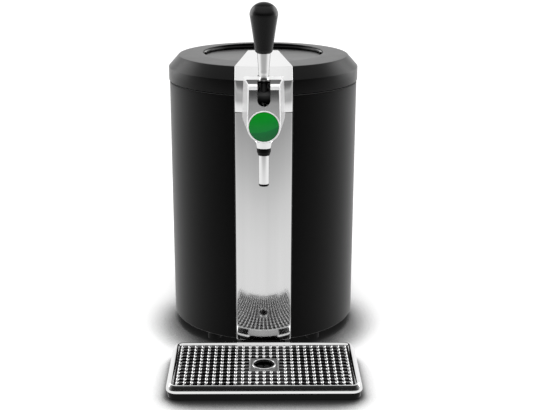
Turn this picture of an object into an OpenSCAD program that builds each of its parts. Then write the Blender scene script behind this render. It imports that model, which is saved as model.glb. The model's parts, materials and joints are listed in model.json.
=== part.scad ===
// Counter-top cooler and tap for a small five litre keg: cooled housing, hinged lid
// with a lever tap, and a slide-out drip tray. Front is -Y, +Z is up.
// The origin lies on the table under the middle of the whole footprint.

/* [Body] */
// Outer radius of the cylindrical shell
body_r = 130; // [126:1:160]
// Height of the cylindrical shell
body_h = 339; // [300:1:410]
// Wall of the outer shell
shell_t = 2.5; // [2:0.1:3.5]
// Radius of the shell's rounded lower edge
shell_edge_r = 2.2; // [0.5:0.1:2.4]
// Gap under the shell, which is the visible height of the feet
foot_h = 13.5; // [9:0.5:18]
// Radius of a rubber foot
foot_r = 9; // [7:0.5:12]
// Distance of the feet from the axis of the shell
foot_ring_r = 112; // [100:1:114]
// Angle of each foot from the front or the back
foot_angle = 38; // [30:1:48]
// Thickness of the base plate
base_t = 3; // [2.5:0.5:5]
// Shared clearance between parts that are assembled together
gap = 0.3; // [0.2:0.05:0.4]

/* [Front panel] */
// Width of the bright front panel
panel_w = 74.4; // [60:0.1:90]
// Thickness of the front panel
panel_t = 1.6; // [1.2:0.1:2]
// How far the panel stands proud of the shell
panel_proud = 1.2; // [0.8:0.1:1.6]
// Open joint at each side of the panel
panel_joint = 0.9; // [0.5:0.1:1.5]
// How far the lid's chrome cover hangs over the top of the panel
panel_drop = 22; // [16:1:30]
// Thickness of the carrier behind the panel
carrier_t = 2.5; // [2:0.1:3]

/* [Keg chamber] */
// Inner radius of the keg chamber
chamber_r = 88; // [84:1:92]
// Height of the chamber floor above the shell's lower edge
chamber_floor_h = 62.5; // [57:0.5:76]
// Wall of the aluminium keg liner
liner_t = 1.5; // [1:0.1:2]
// Width of the liner's top flange
liner_flange_w = 5.5; // [4:0.5:6]
// Height of the top collar
collar_h = 8.2; // [7:0.1:12]
// Thickness of the collar's top
collar_t = 3; // [2:0.5:4]
// Height of the deck that carries the chamber above the shell's lower edge
deck_h = 32.5; // [29:0.5:36]
// Thickness of that deck
deck_t = 3.5; // [3:0.5:5]
// Radius of a deck leg
deck_leg_r = 6; // [5:0.5:9]
// Distance of the deck legs from the axis
deck_leg_ring_r = 92; // [80:1:98]

/* [Cooling unit] */
// Width and height of the cold block
cold_block_w = 60; // [50:1:70]
// Reach of the cold block from the liner
cold_block_reach = 18.5; // [16:0.5:24]
// Height of the middle of the cooling unit above the shell's lower edge
cooler_h = 191.5; // [167:0.5:211]
// Width of the thermoelectric plate
peltier_w = 40; // [30:1:48]
// Thickness of the thermoelectric plate
peltier_t = 4; // [3:0.5:5]
// Width and height of the heat sink
sink_w = 110; // [96:1:120]
// Thickness of the heat sink's base
sink_base_t = 8; // [5:0.5:10]
// Length of the heat sink's fins
fin_l = 28; // [18:1:30]
// Number of fins
fin_count = 17; // [9:1:21]
// Thickness of a fin
fin_t = 1.6; // [1:0.1:2.4]
// Width of the fan frame
fan_w = 92; // [80:1:92]
// Depth of the fan frame
fan_t = 25; // [20:1:25]
// Number of fan blades
blade_count = 7; // [5:1:9]
// Pitch of the fan blades in degrees
blade_pitch = 38; // [25:1:45]
// Radius of the fan shaft
fan_shaft_r = 2.5; // [1.5:0.1:3]
// Radial running clearance of shafts and pins
run_fit = 0.06; // [0.03:0.01:0.1]

/* [Rear housing] */
// How far the rear housing reaches behind the shell
rear_reach = 65; // [60:1:80]
// Width of the rear housing
rear_w = 180; // [160:1:200]
// Height of the rear housing
rear_h = 318.5; // [287:0.5:331]
// Wall of the rear housing
rear_t = 3; // [2.5:0.1:4]
// Corner radius of the rear housing
rear_corner_r = 22; // [12:1:30]
// Width of the rear grille
grille_w = 120; // [100:1:130]
// Height of the rear grille
grille_h = 180; // [150:1:190]
// Number of slots in the rear grille
grille_slots = 15; // [8:1:18]
// Height of one slot
grille_slot_h = 5.5; // [4.5:0.5:7]
// Width of the power inlet
inlet_w = 28; // [26:1:32]
// Height of the power inlet
inlet_h = 20; // [18:1:24]
// Width of the mains switch
switch_w = 22; // [18:1:26]
// Height of the mains switch
switch_h = 30; // [26:1:34]
// Travel of the rocker to each side in degrees
rocker_tilt = 7; // [4:1:9]

/* [Lid] */
// How far the lid stands proud of the shell
lid_proud = 1; // [0.5:0.1:1.4]
// Open joint between shell and lid
seam_gap = 2; // [1.5:0.1:3]
// Height of the lid's upright skirt
skirt_h = 17.9; // [15:0.1:24]
// Height of the lid's sloping shoulder
shoulder_h = 15.6; // [12:0.1:19]
// Width of the lid's sloping shoulder
shoulder_w = 14; // [10:0.5:18]
// Wall of the lid shell
lid_t = 3.5; // [3:0.1:4]
// Radius of the round sunken top
dish_r = 84; // [70:1:88]
// Distance of the sunken top behind the axis
dish_back = 20; // [14:1:24]
// Depth of the sunken top at the back
dish_depth = 8; // [5:0.5:9]
// Thickness of the disc in the sunken top
disc_t = 2.5; // [2:0.1:3]
// Radius of the grip bead round the back of the sunken top
bead_r = 2.1; // [1.5:0.1:2.4]
// Angle to each side that the grip bead covers
bead_half_angle = 98; // [60:1:100]
// Depth of the lid's plug into the chamber
plug_h = 10; // [6:0.5:14]
// Clearance of the plug in the chamber
plug_gap = 2.5; // [2:0.1:4]
// Length of the keg coupler under the plug
coupler_l = 28; // [20:1:32]
// Radius of the keg coupler
coupler_r = 14; // [11:0.5:18]
// Distance of the hinge axis behind the shell
hinge_back = 7; // [6.6:0.1:10]
// Radius of the hinge pin
hinge_pin_r = 3; // [2:0.1:3.5]
// Radius of the hinge barrels
hinge_barrel_r = 6; // [5:0.1:6.3]
// Length of the lid's hinge barrel
hinge_barrel_l = 62; // [40:1:80]
// Thickness of a hinge ear
hinge_ear_t = 6; // [4:0.5:9]

/* [Tap] */
// How far the tap stands out in front of the panel
tap_reach = 53.8; // [50:0.1:64]
// Drop of the tap's top below the lid's top
tap_top_drop = 10.5; // [8:0.1:12]
// Width of the tap's front face
tap_face_w = 42; // [40:0.5:48]
// Width of the tap where it meets the panel
tap_root_w = 58; // [54:0.5:64]
// Height from the middle of the badge to the tap's top
tap_upper_h = 52.7; // [48:0.1:60]
// Wall of the tap housing
tap_t = 2.5; // [2:0.1:3]
// Distance of the spout's axis behind the tap's face
spout_setback = 13; // [12:0.5:15]
// Radius of the badge
badge_r = 18.6; // [14:0.1:19]
// Width of the pale ring round the badge
bezel_w = 1.6; // [1:0.1:1.8]
// Height of the neck under the tap housing
neck_h = 9.3; // [7:0.1:12]
// Upper radius of the neck
neck_top_r = 11.3; // [10:0.1:12]
// Lower radius of the neck
neck_low_r = 9.6; // [9:0.1:11]
// Height of the black ring under the neck
collar_ring_h = 9.6; // [7:0.1:12]
// Radius of the spout tube
spout_r = 6.75; // [6:0.05:7.2]
// Length of the bright part of the spout tube
spout_l = 37; // [26:0.5:40]
// Height of the black tip of the spout
tip_h = 3; // [2:0.1:4]
// Outer radius of the beer line
line_r = 3.2; // [2.6:0.1:3.4]
// Inner radius of the beer line
line_bore_r = 2; // [1.4:0.1:2.2]

/* [Tap lever] */
// Radius of the lever's stem
stem_r = 6.9; // [5:0.1:7]
// Radius of the stem at the grip
stem_top_r = 8.4; // [7:0.1:9]
// Half width of the slot that the lever moves in
slot_half_w = 8; // [7.8:0.1:9]
// Distance of the lever's pivot behind the tap's face
pivot_setback = 25; // [24:0.5:26]
// Depth of the lever's pivot below the tap's top
pivot_depth = 20; // [19.5:0.5:21]
// Radius of the lever's pivot pin
pivot_pin_r = 2.5; // [2:0.1:3]
// Height of the stem from the tap's top to the grip
stem_show_h = 30; // [26:0.5:40]
// Length of the grip
grip_l = 67; // [56:0.5:78]
// Largest radius of the grip
grip_r = 17.6; // [14:0.1:19]
// Radius of the grip's lower end
grip_low_r = 11.2; // [10:0.1:13]
// Height of the grip's rounded lower end
grip_low_h = 6.5; // [4:0.5:9]
// Height of the grip's domed top
grip_dome_h = 15.4; // [12:0.1:20]
// Turn of the lever to its open stop in degrees
lever_travel = 80; // [50:1:82]
// Travel of the slider that pinches the beer line
pinch_travel = 1.4; // [1:0.1:1.5]

/* [Drip tray] */
// Width of the drip tray
tray_w = 245; // [220:1:252]
// Depth of the drip tray
tray_d = 133.4; // [116:0.1:140]
// Height of the drip tray
tray_h = 20; // [18:0.5:26]
// Distance from the shell to the drip tray
tray_gap = 17; // [8:1:50]
// Corner radius of the drip tray
tray_corner_r = 14; // [12:0.5:20]
// Width of the bright frame at the sides of the tray
frame_w = 12; // [10:0.5:14]
// Width of the bright frame at the back of the tray
frame_back_w = 10; // [6:0.5:14]
// Width of the bright frame at the front of the tray
frame_front_w = 4.8; // [4.5:0.1:12]
// Height of the bright frame
frame_h = 10.5; // [9:0.5:12]
// Wall of the black pan
pan_t = 2; // [1.6:0.1:3]
// Height of the tray's pads
pad_h = 1; // [0.8:0.1:1.5]
// Number of bars across the width of the drip grille
bars_x = 25; // [19:2:25]
// Number of bars across the depth of the drip grille
bars_y = 13; // [9:2:13]
// Width of a bar of the drip grille
bar_w = 3.4; // [2.6:0.1:4]
// Thickness of the drip grille
bar_t = 2; // [1.6:0.1:2.4]
// Radius of the drain hole in the drip grille
drain_r = 13.2; // [11:0.1:13.5]
// Width of the bright ring round the drain hole
drain_ring_w = 2.3; // [1.6:0.1:2.6]
// Width of the tongue that locates the tray
tongue_w = 60; // [40:1:70]
// Thickness of the tongue
tongue_t = 2.2; // [1.6:0.1:4]
// Reach of the tongue under the housing
tongue_reach = 45; // [30:1:60]

/* [Hidden] */
$fn = 96;

BLACK = "#1c1c1e";
GRAPHITE = "#3a3b3d";
CHROME = "#dfe1e3";
STEEL = "#b4b6b8";
WHITE = "#e9e9e6";
GREEN = "#0c8a2c";
FOAM = "#e8dfb8";

eps = 0.01;
// Reach of through cuts: one that starts at the table still comes out of the lid
far = 2 * body_h;

// Feet, screws and seats of the housing
foot_stem_r = 4;
foot_lip_w = 0.8;
foot_lip_h = 2;
screw_r = 1.5;
screw_hole_r = screw_r + gap / 3;
screw_head_r = 3.2;
screw_head_h = 2;
screw_l = 10;
tongue_rail_w = 6;

// Heights of the housing
shell_z0 = foot_h;
shell_z1 = foot_h + body_h;
base_z1 = shell_z0 + base_t;
chamber_floor_z = shell_z0 + chamber_floor_h;
deck_z = shell_z0 + deck_h;
cooler_z = shell_z0 + cooler_h;
rear_top_z = shell_z0 + rear_h;
collar_z1 = shell_z1 - gap;
collar_z0 = collar_z1 - collar_h;
liner_z0 = chamber_floor_z - liner_t;
inner_r = body_r - shell_t - gap;
foam_r = inner_r - carrier_t - gap;
carrier_lap = 4;

// Front panel
panel_r = body_r + panel_proud;
panel_z1 = shell_z1 - panel_drop;
panel_half = asin(panel_w / 2 / panel_r);
slot_half = asin((panel_w / 2 + panel_joint) / body_r);

// Whole footprint
rear_y1 = body_r + rear_reach;
tray_y1 = -(body_r + tray_gap);
tray_y0 = tray_y1 - tray_d;
axis_y = -(rear_y1 + tray_y0) / 2;
rear_window_w = sink_w + 12;
base_tail_w = rear_w - 2 * rear_t - 2 * gap;

// Lid
lid_r = body_r + lid_proud;
lid_top_r = lid_r - shoulder_w;
lid_z0 = shell_z1 + seam_gap;
lid_z1 = lid_z0 + skirt_h;
lid_z2 = lid_z1 + shoulder_h;
bonnet_t = 1.2;
bonnet_skin = 0.15;
bonnet_proud = panel_r - lid_r;
bonnet_back_w = 43;
bonnet_back_y = 31;
bonnet_joint = 0.8;
lid_in_r = lid_r - lid_t;
flange_z0 = lid_z0 + 0.5;
flange_t = 3;
plug_r = chamber_r - plug_gap;
plug_z0 = flange_z0 - plug_h;
dish_front_y = dish_back - dish_r;
dish_slope = atan(dish_depth / (2 * dish_r));
hinge_y = body_r + hinge_back;
hinge_z = lid_z0 - 0.5;
hinge_arm_l = 14;
bead_inset = 0.4;
plug_t = 3;
gasket_w = 6;
gasket_r = chamber_r + liner_t + liner_flange_w + 8;
coupler_flange_h = 4;
coupler_flange_w = 6;

// Tap
tap_y0 = -(panel_r + tap_reach);
tap_z1 = lid_z2 - tap_top_drop;
badge_z = tap_z1 - tap_upper_h;
tap_front_r = tap_face_w / 2;
tap_root_r = tap_root_w / 2;
tap_z0 = badge_z - tap_front_r;
spout_y = tap_y0 + spout_setback;
neck_z0 = tap_z0 + 1 - neck_h;
spout_ring_z0 = neck_z0 - collar_ring_h;
spout_z0 = spout_ring_z0 - spout_l;
tip_z0 = spout_z0 - tip_h;
face_t = 1.2;
face_inset = 1.4;
face_z1 = tap_z1 - 3.4;
tap_bevel = 3;
tap_root_rise = 5;
tap_plate_y0 = tap_y0 + 4;
tap_plate_y1 = tap_y0 + 35;
tap_plate_t = 2;
tap_plate_rim = 1.2;
tap_top_ratio = 0.93;
tap_flare = (tap_root_r - tap_front_r) / (-lid_top_r - tap_y0);
cheek_w = 3;
badge_rim_h = 1.4;
badge_dome_h = 1.5;
line_hole_r = line_r + gap;
spout_bore_r = line_hole_r + 1;
line_z = tap_z1 - 12.5;
line_drop_y = -(panel_r + 9);
line_bend_r = 6;
line_kink_z = badge_z + 3.2;
line_kink_r = 12;

// Lever
pivot_y = tap_y0 + pivot_setback;
pivot_z = tap_z1 - pivot_depth;
hub_r = pivot_pin_r + 5;
grip_z0 = tap_z1 + stem_show_h;
collar_low_z = tap_z1 - 2.2;
lever_collar_h = 4;
stem_straight_h = 12;
stem_sunk_h = 4;
stud_r = 4;
stud_l = 30;
cap_h = 4.5;
slider_h = 8;

// Tray
tray_mid_y = (tray_y0 + tray_y1) / 2;
frame_z0 = tray_h - frame_h;
well_w = tray_w - 2 * frame_w;
well_d = tray_d - frame_back_w - frame_front_w;
well_mid_y = tray_mid_y - (frame_back_w - frame_front_w) / 2;
grille_z0 = tray_h - 1.2 - bar_t;
well_corner_r = 3;
pan_w = well_w + 2 * pan_t + 2;
pan_d = well_d + 2 * pan_t + 2;
pan_corner_r = 4;
tray_foot_inset = 1.5;
ledge_z1 = grille_z0 - 0.1;
ledge_t = 1.6;
ledge_w = 3;
drain_lip = 0.8;
drain_plate_w = 2 * (drain_r + drain_ring_w + 2);

// Cooling unit, from the liner outwards
cold_y1 = chamber_r + liner_t + cold_block_reach;
peltier_y1 = cold_y1 + peltier_t;
sink_y1 = peltier_y1 + sink_base_t;
fin_y1 = sink_y1 + fin_l;
fan_y0 = fin_y1 + gap;
fan_y1 = fan_y0 + fan_t;
fan_bore_r = fan_w / 2 - 3;
fan_hub_r = 16;
blade_r = fan_bore_r - 1.5;
blade_w = 18;
blade_t = 1.8;
sensor_w = 10;
sensor_h = 16;
sensor_turn = 28;

// Rear wall fittings
fitting_x = 50;
inlet_z = shell_z0 + 27.5;
inlet_depth = 20;
switch_z = shell_z0 + 62.5;
switch_depth = 16;
rocker_pin_r = 1.2;
rocker_y = rear_y1 - 7;
fitting_lap = 2;

// Side vents of the rear housing
side_slots = 10;
side_slot_pitch = 13;
side_slot_h = 5;
side_slot_y0 = body_r - 22;
side_slot_y1 = body_r + 26;

// Electronics under the deck
board_z = shell_z0 + 16.5;
board_t = 1.6;
board_w = 110;
board_d = 70;
board_hole_x = board_w / 2 - 5;
board_hole_y = board_d / 2 - 5;
board_post_r = 3.5;
supply_w = 74;
supply_d = rear_reach - 22;
supply_h = 42;

module at_axis() {
    translate([0, axis_y, 0]) children();
}

module tube(r_in, r_out, h) {
    difference() {
        cylinder(h = h, r = r_out);
        translate([0, 0, -1]) cylinder(h = h + 2, r = r_in);
    }
}

// Cylindrical wall, centred on the front
module front_arc(r_in, r_out, half, h) {
    rotate([0, 0, -90 - half]) rotate_extrude(angle = 2 * half)
        translate([r_in, 0]) square([r_out - r_in, h]);
}

module centred_box(w, y0, y1, z0, z1) {
    translate([-w / 2, y0, z0]) cube([w, y1 - y0, z1 - z0]);
}

module round_rect(w, d, r) {
    translate([-w / 2 + r, -d / 2]) square([w - 2 * r, d]);
    translate([-w / 2, -d / 2 + r]) square([w, d - 2 * r]);
    for (x = [-1, 1]) {
        for (y = [-1, 1]) {
            translate([x * (w / 2 - r), y * (d / 2 - r)]) circle(r = r);
        }
    }
}

module foot_places() {
    for (side = [-1, 1]) {
        for (end = [-1, 1]) {
            rotate([0, 0, end * 90 + side * foot_angle]) translate([foot_ring_r, 0, 0]) children();
        }
    }
}

module leg_places() {
    for (a = [45:90:315]) {
        rotate([0, 0, a]) translate([deck_leg_ring_r, 0, 0]) children();
    }
}

// ---- Housing ----

module outer_shell() color(BLACK) at_axis() {
    difference() {
        translate([0, 0, shell_z0]) rotate_extrude() {
            translate([body_r - shell_t, 0]) square([shell_t - shell_edge_r, body_h]);
            translate([body_r - shell_t, shell_edge_r]) square([shell_t, body_h - shell_edge_r]);
            intersection() {
                translate([body_r - shell_edge_r, shell_edge_r]) circle(r = shell_edge_r);
                translate([body_r - shell_t, 0]) square([shell_t, body_h]);
            }
        }
        translate([0, 0, shell_z0 - 1])
            front_arc(body_r - shell_t - 1, body_r + 1, slot_half, body_h + 2);
        centred_box(rear_window_w, body_r / 2, body_r + 1, deck_z, rear_top_z - 30);
        centred_box(base_tail_w + 2 * gap, body_r / 2, body_r + 1, 0, base_z1 + gap);
    }
}

module front_panel() color(CHROME) at_axis() {
    translate([0, 0, shell_z0])
        front_arc(panel_r - panel_t, panel_r, panel_half, panel_z1 - shell_z0);
}

module panel_carrier() color(BLACK) at_axis() {
    carrier_z0 = base_z1 + gap;
    translate([0, 0, carrier_z0])
        front_arc(inner_r - carrier_t, inner_r, slot_half + carrier_lap,
            collar_z0 - gap - carrier_z0);
    translate([0, 0, carrier_z0])
        front_arc(inner_r - 0.5, panel_r - panel_t - gap / 3, slot_half - 0.3,
            panel_z1 - carrier_z0);
}

module base_plate() color(GRAPHITE) at_axis() {
    tail_y1 = rear_y1 - rear_t - gap;
    tail_r = rear_corner_r - rear_t - gap;
    rail_y0 = 12 - inner_r;
    difference() {
        union() {
            translate([0, 0, shell_z0]) cylinder(h = base_t, r = inner_r);
            translate([0, tail_y1 / 2, shell_z0]) linear_extrude(base_t)
                round_rect(base_tail_w, tail_y1, tail_r);
            for (side = [-1, 1]) {
                translate([side * (tongue_w + tongue_rail_w + 2 * gap) / 2, 0, 0])
                    centred_box(tongue_rail_w, rail_y0, rail_y0 + tongue_reach + 10, pad_h, base_z1);
            }
        }
        foot_places() cylinder(h = far, r = foot_stem_r + gap / 3);
        leg_places() cylinder(h = far, r = screw_hole_r);
    }
}

module rubber_feet() color(BLACK) at_axis() {
    foot_places() {
        cylinder(h = shell_z0, r = foot_r);
        cylinder(h = base_z1 + eps, r = foot_stem_r);
        translate([0, 0, base_z1]) cylinder(h = foot_lip_h, r = foot_stem_r + foot_lip_w);
    }
}

module inner_deck() color(GRAPHITE) at_axis() {
    difference() {
        union() {
            translate([0, 0, deck_z]) cylinder(h = deck_t, r = foam_r);
            leg_places() translate([0, 0, base_z1])
                cylinder(h = deck_z - base_z1 + eps, r = deck_leg_r);
            for (x = [-1, 1]) {
                for (y = [-1, 1]) {
                    translate([x * board_hole_x, y * board_hole_y, board_z + board_t])
                        cylinder(h = deck_z - board_z - board_t + eps, r = board_post_r);
                }
            }
        }
        leg_places() cylinder(h = base_z1 + screw_l + 1, r = screw_hole_r);
    }
}

module deck_screws() color(STEEL) at_axis() {
    leg_places() {
        translate([0, 0, shell_z0 - screw_head_h]) cylinder(h = screw_head_h, r = screw_head_r);
        translate([0, 0, shell_z0 - eps]) cylinder(h = base_t + screw_l, r = screw_r);
    }
}

module floor_foam() color(FOAM) at_axis() {
    translate([0, 0, deck_z + deck_t])
        cylinder(h = liner_z0 - deck_z - deck_t, r = foam_r);
}

module foam_jacket() color(FOAM) at_axis() {
    difference() {
        translate([0, 0, liner_z0])
            tube(chamber_r + liner_t + gap, foam_r, collar_z0 - gap - liner_z0);
        centred_box(sink_w + 2, chamber_r * 0.6, far, cooler_z - sink_w / 2 - 1,
            cooler_z + sink_w / 2 + 1);
    }
}

module keg_liner() color(STEEL) at_axis() {
    difference() {
        union() {
            translate([0, 0, liner_z0])
                cylinder(h = collar_z1 - liner_z0 + eps, r = chamber_r + liner_t);
            translate([0, 0, collar_z1])
                cylinder(h = 1, r = chamber_r + liner_t + liner_flange_w);
        }
        translate([0, 0, chamber_floor_z]) cylinder(h = far, r = chamber_r);
    }
}

module top_collar() color(BLACK) at_axis() {
    translate([0, 0, collar_z1 - collar_t])
        tube(chamber_r + liner_t + gap, inner_r, collar_t);
    translate([0, 0, collar_z0]) tube(inner_r - collar_t, inner_r, collar_h - eps);
    translate([0, 0, collar_z0])
        tube(chamber_r + liner_t + gap, chamber_r + liner_t + gap + 2, collar_h - eps);
}

// ---- Cooling unit ----

module cold_block() color(STEEL) at_axis() {
    difference() {
        centred_box(cold_block_w, chamber_r * 0.8, cold_y1,
            cooler_z - cold_block_w / 2, cooler_z + cold_block_w / 2);
        cylinder(h = far, r = chamber_r + liner_t + gap / 3);
    }
}

module thermoelectric_plate() color(WHITE) at_axis() {
    centred_box(peltier_w, cold_y1, peltier_y1, cooler_z - peltier_w / 2,
        cooler_z + peltier_w / 2);
}

module cold_gasket() color(GRAPHITE) at_axis() {
    outer = cold_block_w / 2;
    inner = peltier_w / 2 + gap;
    difference() {
        centred_box(2 * outer, cold_y1, peltier_y1, cooler_z - outer, cooler_z + outer);
        centred_box(2 * inner, cold_y1 - 1, peltier_y1 + 1, cooler_z - inner, cooler_z + inner);
    }
}

module heat_sink() color(STEEL) at_axis() {
    half = sink_w / 2;
    pitch = (sink_w - fin_t) / (fin_count - 1);
    centred_box(sink_w, peltier_y1, sink_y1, cooler_z - half, cooler_z + half);
    for (i = [0:fin_count - 1]) {
        translate([-half + i * pitch, sink_y1 - eps, cooler_z - half])
            cube([fin_t, fin_l + eps, sink_w]);
    }
}

module fan_frame() color(BLACK) at_axis() translate([0, fan_y1, cooler_z]) rotate([90, 0, 0]) {
    boss_h = 5;
    difference() {
        union() {
            difference() {
                linear_extrude(fan_t) round_rect(fan_w, fan_w, 5);
                translate([0, 0, -1]) cylinder(h = fan_t + 2, r = fan_bore_r);
                for (x = [-1, 1]) {
                    for (y = [-1, 1]) {
                        translate([x * (fan_w / 2 - 5), y * (fan_w / 2 - 5), -1])
                            cylinder(h = fan_t + 2, r = 2.2);
                    }
                }
            }
            cylinder(h = boss_h, r = fan_hub_r - 1);
            for (a = [30:120:270]) {
                rotate([0, 0, a]) translate([0, -2, 0]) cube([fan_bore_r + 1, 4, boss_h - 1]);
            }
        }
        translate([0, 0, 1]) cylinder(h = boss_h, r = fan_shaft_r + run_fit);
    }
}

module fan_rotor() color(GRAPHITE) at_axis() translate([0, fan_y1, cooler_z]) rotate([90, 0, 0]) {
    hub_z0 = 6.5;
    hub_h = fan_t - hub_z0 - 2;
    translate([0, 0, hub_z0]) cylinder(h = hub_h, r = fan_hub_r);
    translate([0, 0, 1.6]) cylinder(h = hub_z0, r = fan_shaft_r);
    intersection() {
        for (i = [0:blade_count - 1]) {
            rotate([0, 0, i * 360 / blade_count]) translate([fan_hub_r - 2, 0, hub_z0 + hub_h / 2])
                rotate([blade_pitch, 0, 0]) translate([0, -blade_w / 2, -blade_t / 2])
                    cube([blade_r, blade_w, blade_t]);
        }
        translate([0, 0, hub_z0]) cylinder(h = hub_h, r = blade_r);
    }
}

// ---- Rear housing ----

module rear_outline(inset) {
    translate([0, (rear_y1 - inset) / 2])
        round_rect(rear_w - 2 * inset, rear_y1 - inset, rear_corner_r - inset);
}

module rear_housing() color(BLACK) at_axis() {
    grille_z0 = cooler_z - grille_h / 2;
    difference() {
        translate([0, 0, shell_z0]) linear_extrude(rear_h) rear_outline(0);
        linear_extrude(rear_top_z - rear_t) rear_outline(rear_t);
        cylinder(h = far, r = body_r + gap);
        centred_box(grille_w, rear_y1 - rear_t - 1, rear_y1 + 1, grille_z0, grille_z0 + grille_h);
        for (i = [0:side_slots - 1]) {
            slot_z = cooler_z + (i - (side_slots - 1) / 2) * side_slot_pitch;
            centred_box(rear_w + 2, side_slot_y0, side_slot_y1, slot_z - side_slot_h / 2,
                slot_z + side_slot_h / 2);
        }
        translate([fitting_x, 0, 0])
            centred_box(inlet_w, rear_y1 - rear_t - 1, rear_y1 + 1, inlet_z - inlet_h / 2,
                inlet_z + inlet_h / 2);
        translate([fitting_x, 0, 0])
            centred_box(switch_w, rear_y1 - rear_t - 1, rear_y1 + 1, switch_z - switch_h / 2,
                switch_z + switch_h / 2);
    }
}

module rear_grille() color(GRAPHITE) at_axis() {
    half = grille_h / 2;
    pitch = (grille_h - 12) / grille_slots;
    difference() {
        union() {
            centred_box(grille_w - 2 * gap, rear_y1 - rear_t - 1, rear_y1 - 0.5,
                cooler_z - half + gap, cooler_z + half - gap);
            centred_box(grille_w + 8, rear_y1 - rear_t - 2.5, rear_y1 - rear_t,
                cooler_z - half - 4, cooler_z + half + 4);
        }
        for (i = [0:grille_slots - 1]) {
            centred_box(grille_w - 16, rear_y1 - 20, rear_y1 + 1,
                cooler_z - half + 6 + (i + 0.5) * pitch - grille_slot_h / 2,
                cooler_z - half + 6 + (i + 0.5) * pitch + grille_slot_h / 2);
        }
    }
}

module power_inlet() color(BLACK) at_axis() translate([fitting_x, 0, 0]) {
    half_h = inlet_h / 2;
    wall = 4;
    pin_x = 4.3;
    pin_r = 1.2;
    pin_l = 11;
    back_y = rear_y1 - inlet_depth;
    difference() {
        union() {
            centred_box(inlet_w - 2 * gap, back_y, rear_y1 - gap, inlet_z - half_h + gap,
                inlet_z + half_h - gap);
            centred_box(inlet_w + 2 * fitting_lap, back_y + wall, rear_y1 - rear_t,
                inlet_z - half_h - fitting_lap, inlet_z + half_h + fitting_lap);
        }
        centred_box(inlet_w - 2 * wall, back_y + wall, rear_y1 + 1, inlet_z - half_h + wall + 1,
            inlet_z + half_h - wall - 1);
    }
    for (side = [-1, 1]) {
        translate([side * pin_x, back_y + wall - 1, inlet_z]) rotate([-90, 0, 0])
            cylinder(h = pin_l, r = pin_r);
    }
}

module switch_bezel() color(BLACK) at_axis() translate([fitting_x, 0, 0]) {
    half_h = switch_h / 2;
    wall = 2;
    back_y = rear_y1 - switch_depth;
    difference() {
        union() {
            centred_box(switch_w - 2 * gap, back_y, rear_y1 - gap, switch_z - half_h + gap,
                switch_z + half_h - gap);
            centred_box(switch_w + 2 * fitting_lap, back_y, rear_y1 - rear_t,
                switch_z - half_h - fitting_lap, switch_z + half_h + fitting_lap);
        }
        centred_box(switch_w - 2 * wall, back_y + wall, rear_y1 + 1, switch_z - half_h + wall,
            switch_z + half_h - wall);
    }
    translate([-switch_w / 2 + 1.5, rocker_y, switch_z]) rotate([0, 90, 0])
        cylinder(h = switch_w - 3, r = rocker_pin_r);
}

// The rest position holds the rocker pressed in at its lower end
module power_rocker() color(GRAPHITE) at_axis() translate([fitting_x, rocker_y, switch_z])
    rotate([-rocker_tilt, 0, 0]) {
        w = switch_w - 4 - 2 * gap;
        half = switch_h / 2 - 3;
        difference() {
            intersection() {
                translate([-w / 2, -3, -half]) cube([w, 8, 2 * half]);
                translate([-w / 2, 0, 0]) rotate([0, 90, 0]) cylinder(h = w, r = half);
            }
            rotate([0, 90, 0]) translate([0, 0, -w])
                cylinder(h = 2 * w, r = rocker_pin_r + run_fit);
        }
    }

module control_board() color("#14532d") at_axis() {
    difference() {
        centred_box(board_w, -board_d / 2, board_d / 2, board_z, board_z + board_t);
        for (x = [-1, 1]) {
            for (y = [-1, 1]) {
                translate([x * board_hole_x, y * board_hole_y, board_z - 1])
                    cylinder(h = board_t + 2, r = screw_hole_r);
            }
        }
    }
}

// Parts hanging under the board: three capacitors, then blocks as corner and size
module board_components() color(GRAPHITE) at_axis() translate([0, 0, board_z]) mirror([0, 0, 1]) {
    blocks = [[6, 4, 18, 14, 8], [-36, -20, 24, 14, 6], [8, -22, 12, 12, 3], [32, -16, 8, 30, 9]];
    for (x = [-34, -22, -10]) {
        translate([x, 12, 0]) cylinder(h = 9, r = 4.5);
    }
    for (b = blocks) {
        translate([b[0], b[1], 0]) cube([b[2], b[3], b[4]]);
    }
}

module power_supply() color(STEEL) at_axis() {
    supply_y0 = body_r + 4;
    flange_w = 6;
    translate([-fitting_x / 2, 0, 0]) {
        centred_box(supply_w, supply_y0, supply_y0 + supply_d, base_z1, base_z1 + supply_h);
        centred_box(supply_w + 2 * flange_w, supply_y0 + 8, supply_y0 + 18, base_z1, base_z1 + 2);
    }
}

module temperature_sensor() color(BLACK) at_axis() translate([0, 0, cooler_z - 20])
    rotate([0, 0, -sensor_turn]) {
        difference() {
            centred_box(sensor_w, chamber_r - 3, chamber_r - 3 + sensor_w, 0, sensor_h);
            translate([0, 0, -1]) cylinder(h = far, r = chamber_r + liner_t + gap / 3);
        }
    }

// ---- Lid ----

module hinge_bracket() color(BLACK) at_axis() {
    for (side = [-1, 1]) {
        x0 = side * (hinge_barrel_l / 2 + gap + hinge_ear_t / 2) - hinge_ear_t / 2;
        difference() {
            union() {
                translate([x0, hinge_y, hinge_z]) rotate([0, 90, 0])
                    cylinder(h = hinge_ear_t, r = hinge_barrel_r);
                translate([x0, hinge_y - hinge_barrel_r, rear_top_z])
                    cube([hinge_ear_t, 2 * hinge_barrel_r, hinge_z - rear_top_z]);
                translate([x0 - 4, hinge_y - hinge_barrel_r, rear_top_z])
                    cube([hinge_ear_t + 8, 2 * hinge_barrel_r + 14, 3]);
            }
            translate([x0 - 1, hinge_y, hinge_z]) rotate([0, 90, 0])
                cylinder(h = hinge_ear_t + 2, r = hinge_pin_r + run_fit);
            cylinder(h = far, r = body_r + gap);
        }
    }
}

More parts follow.
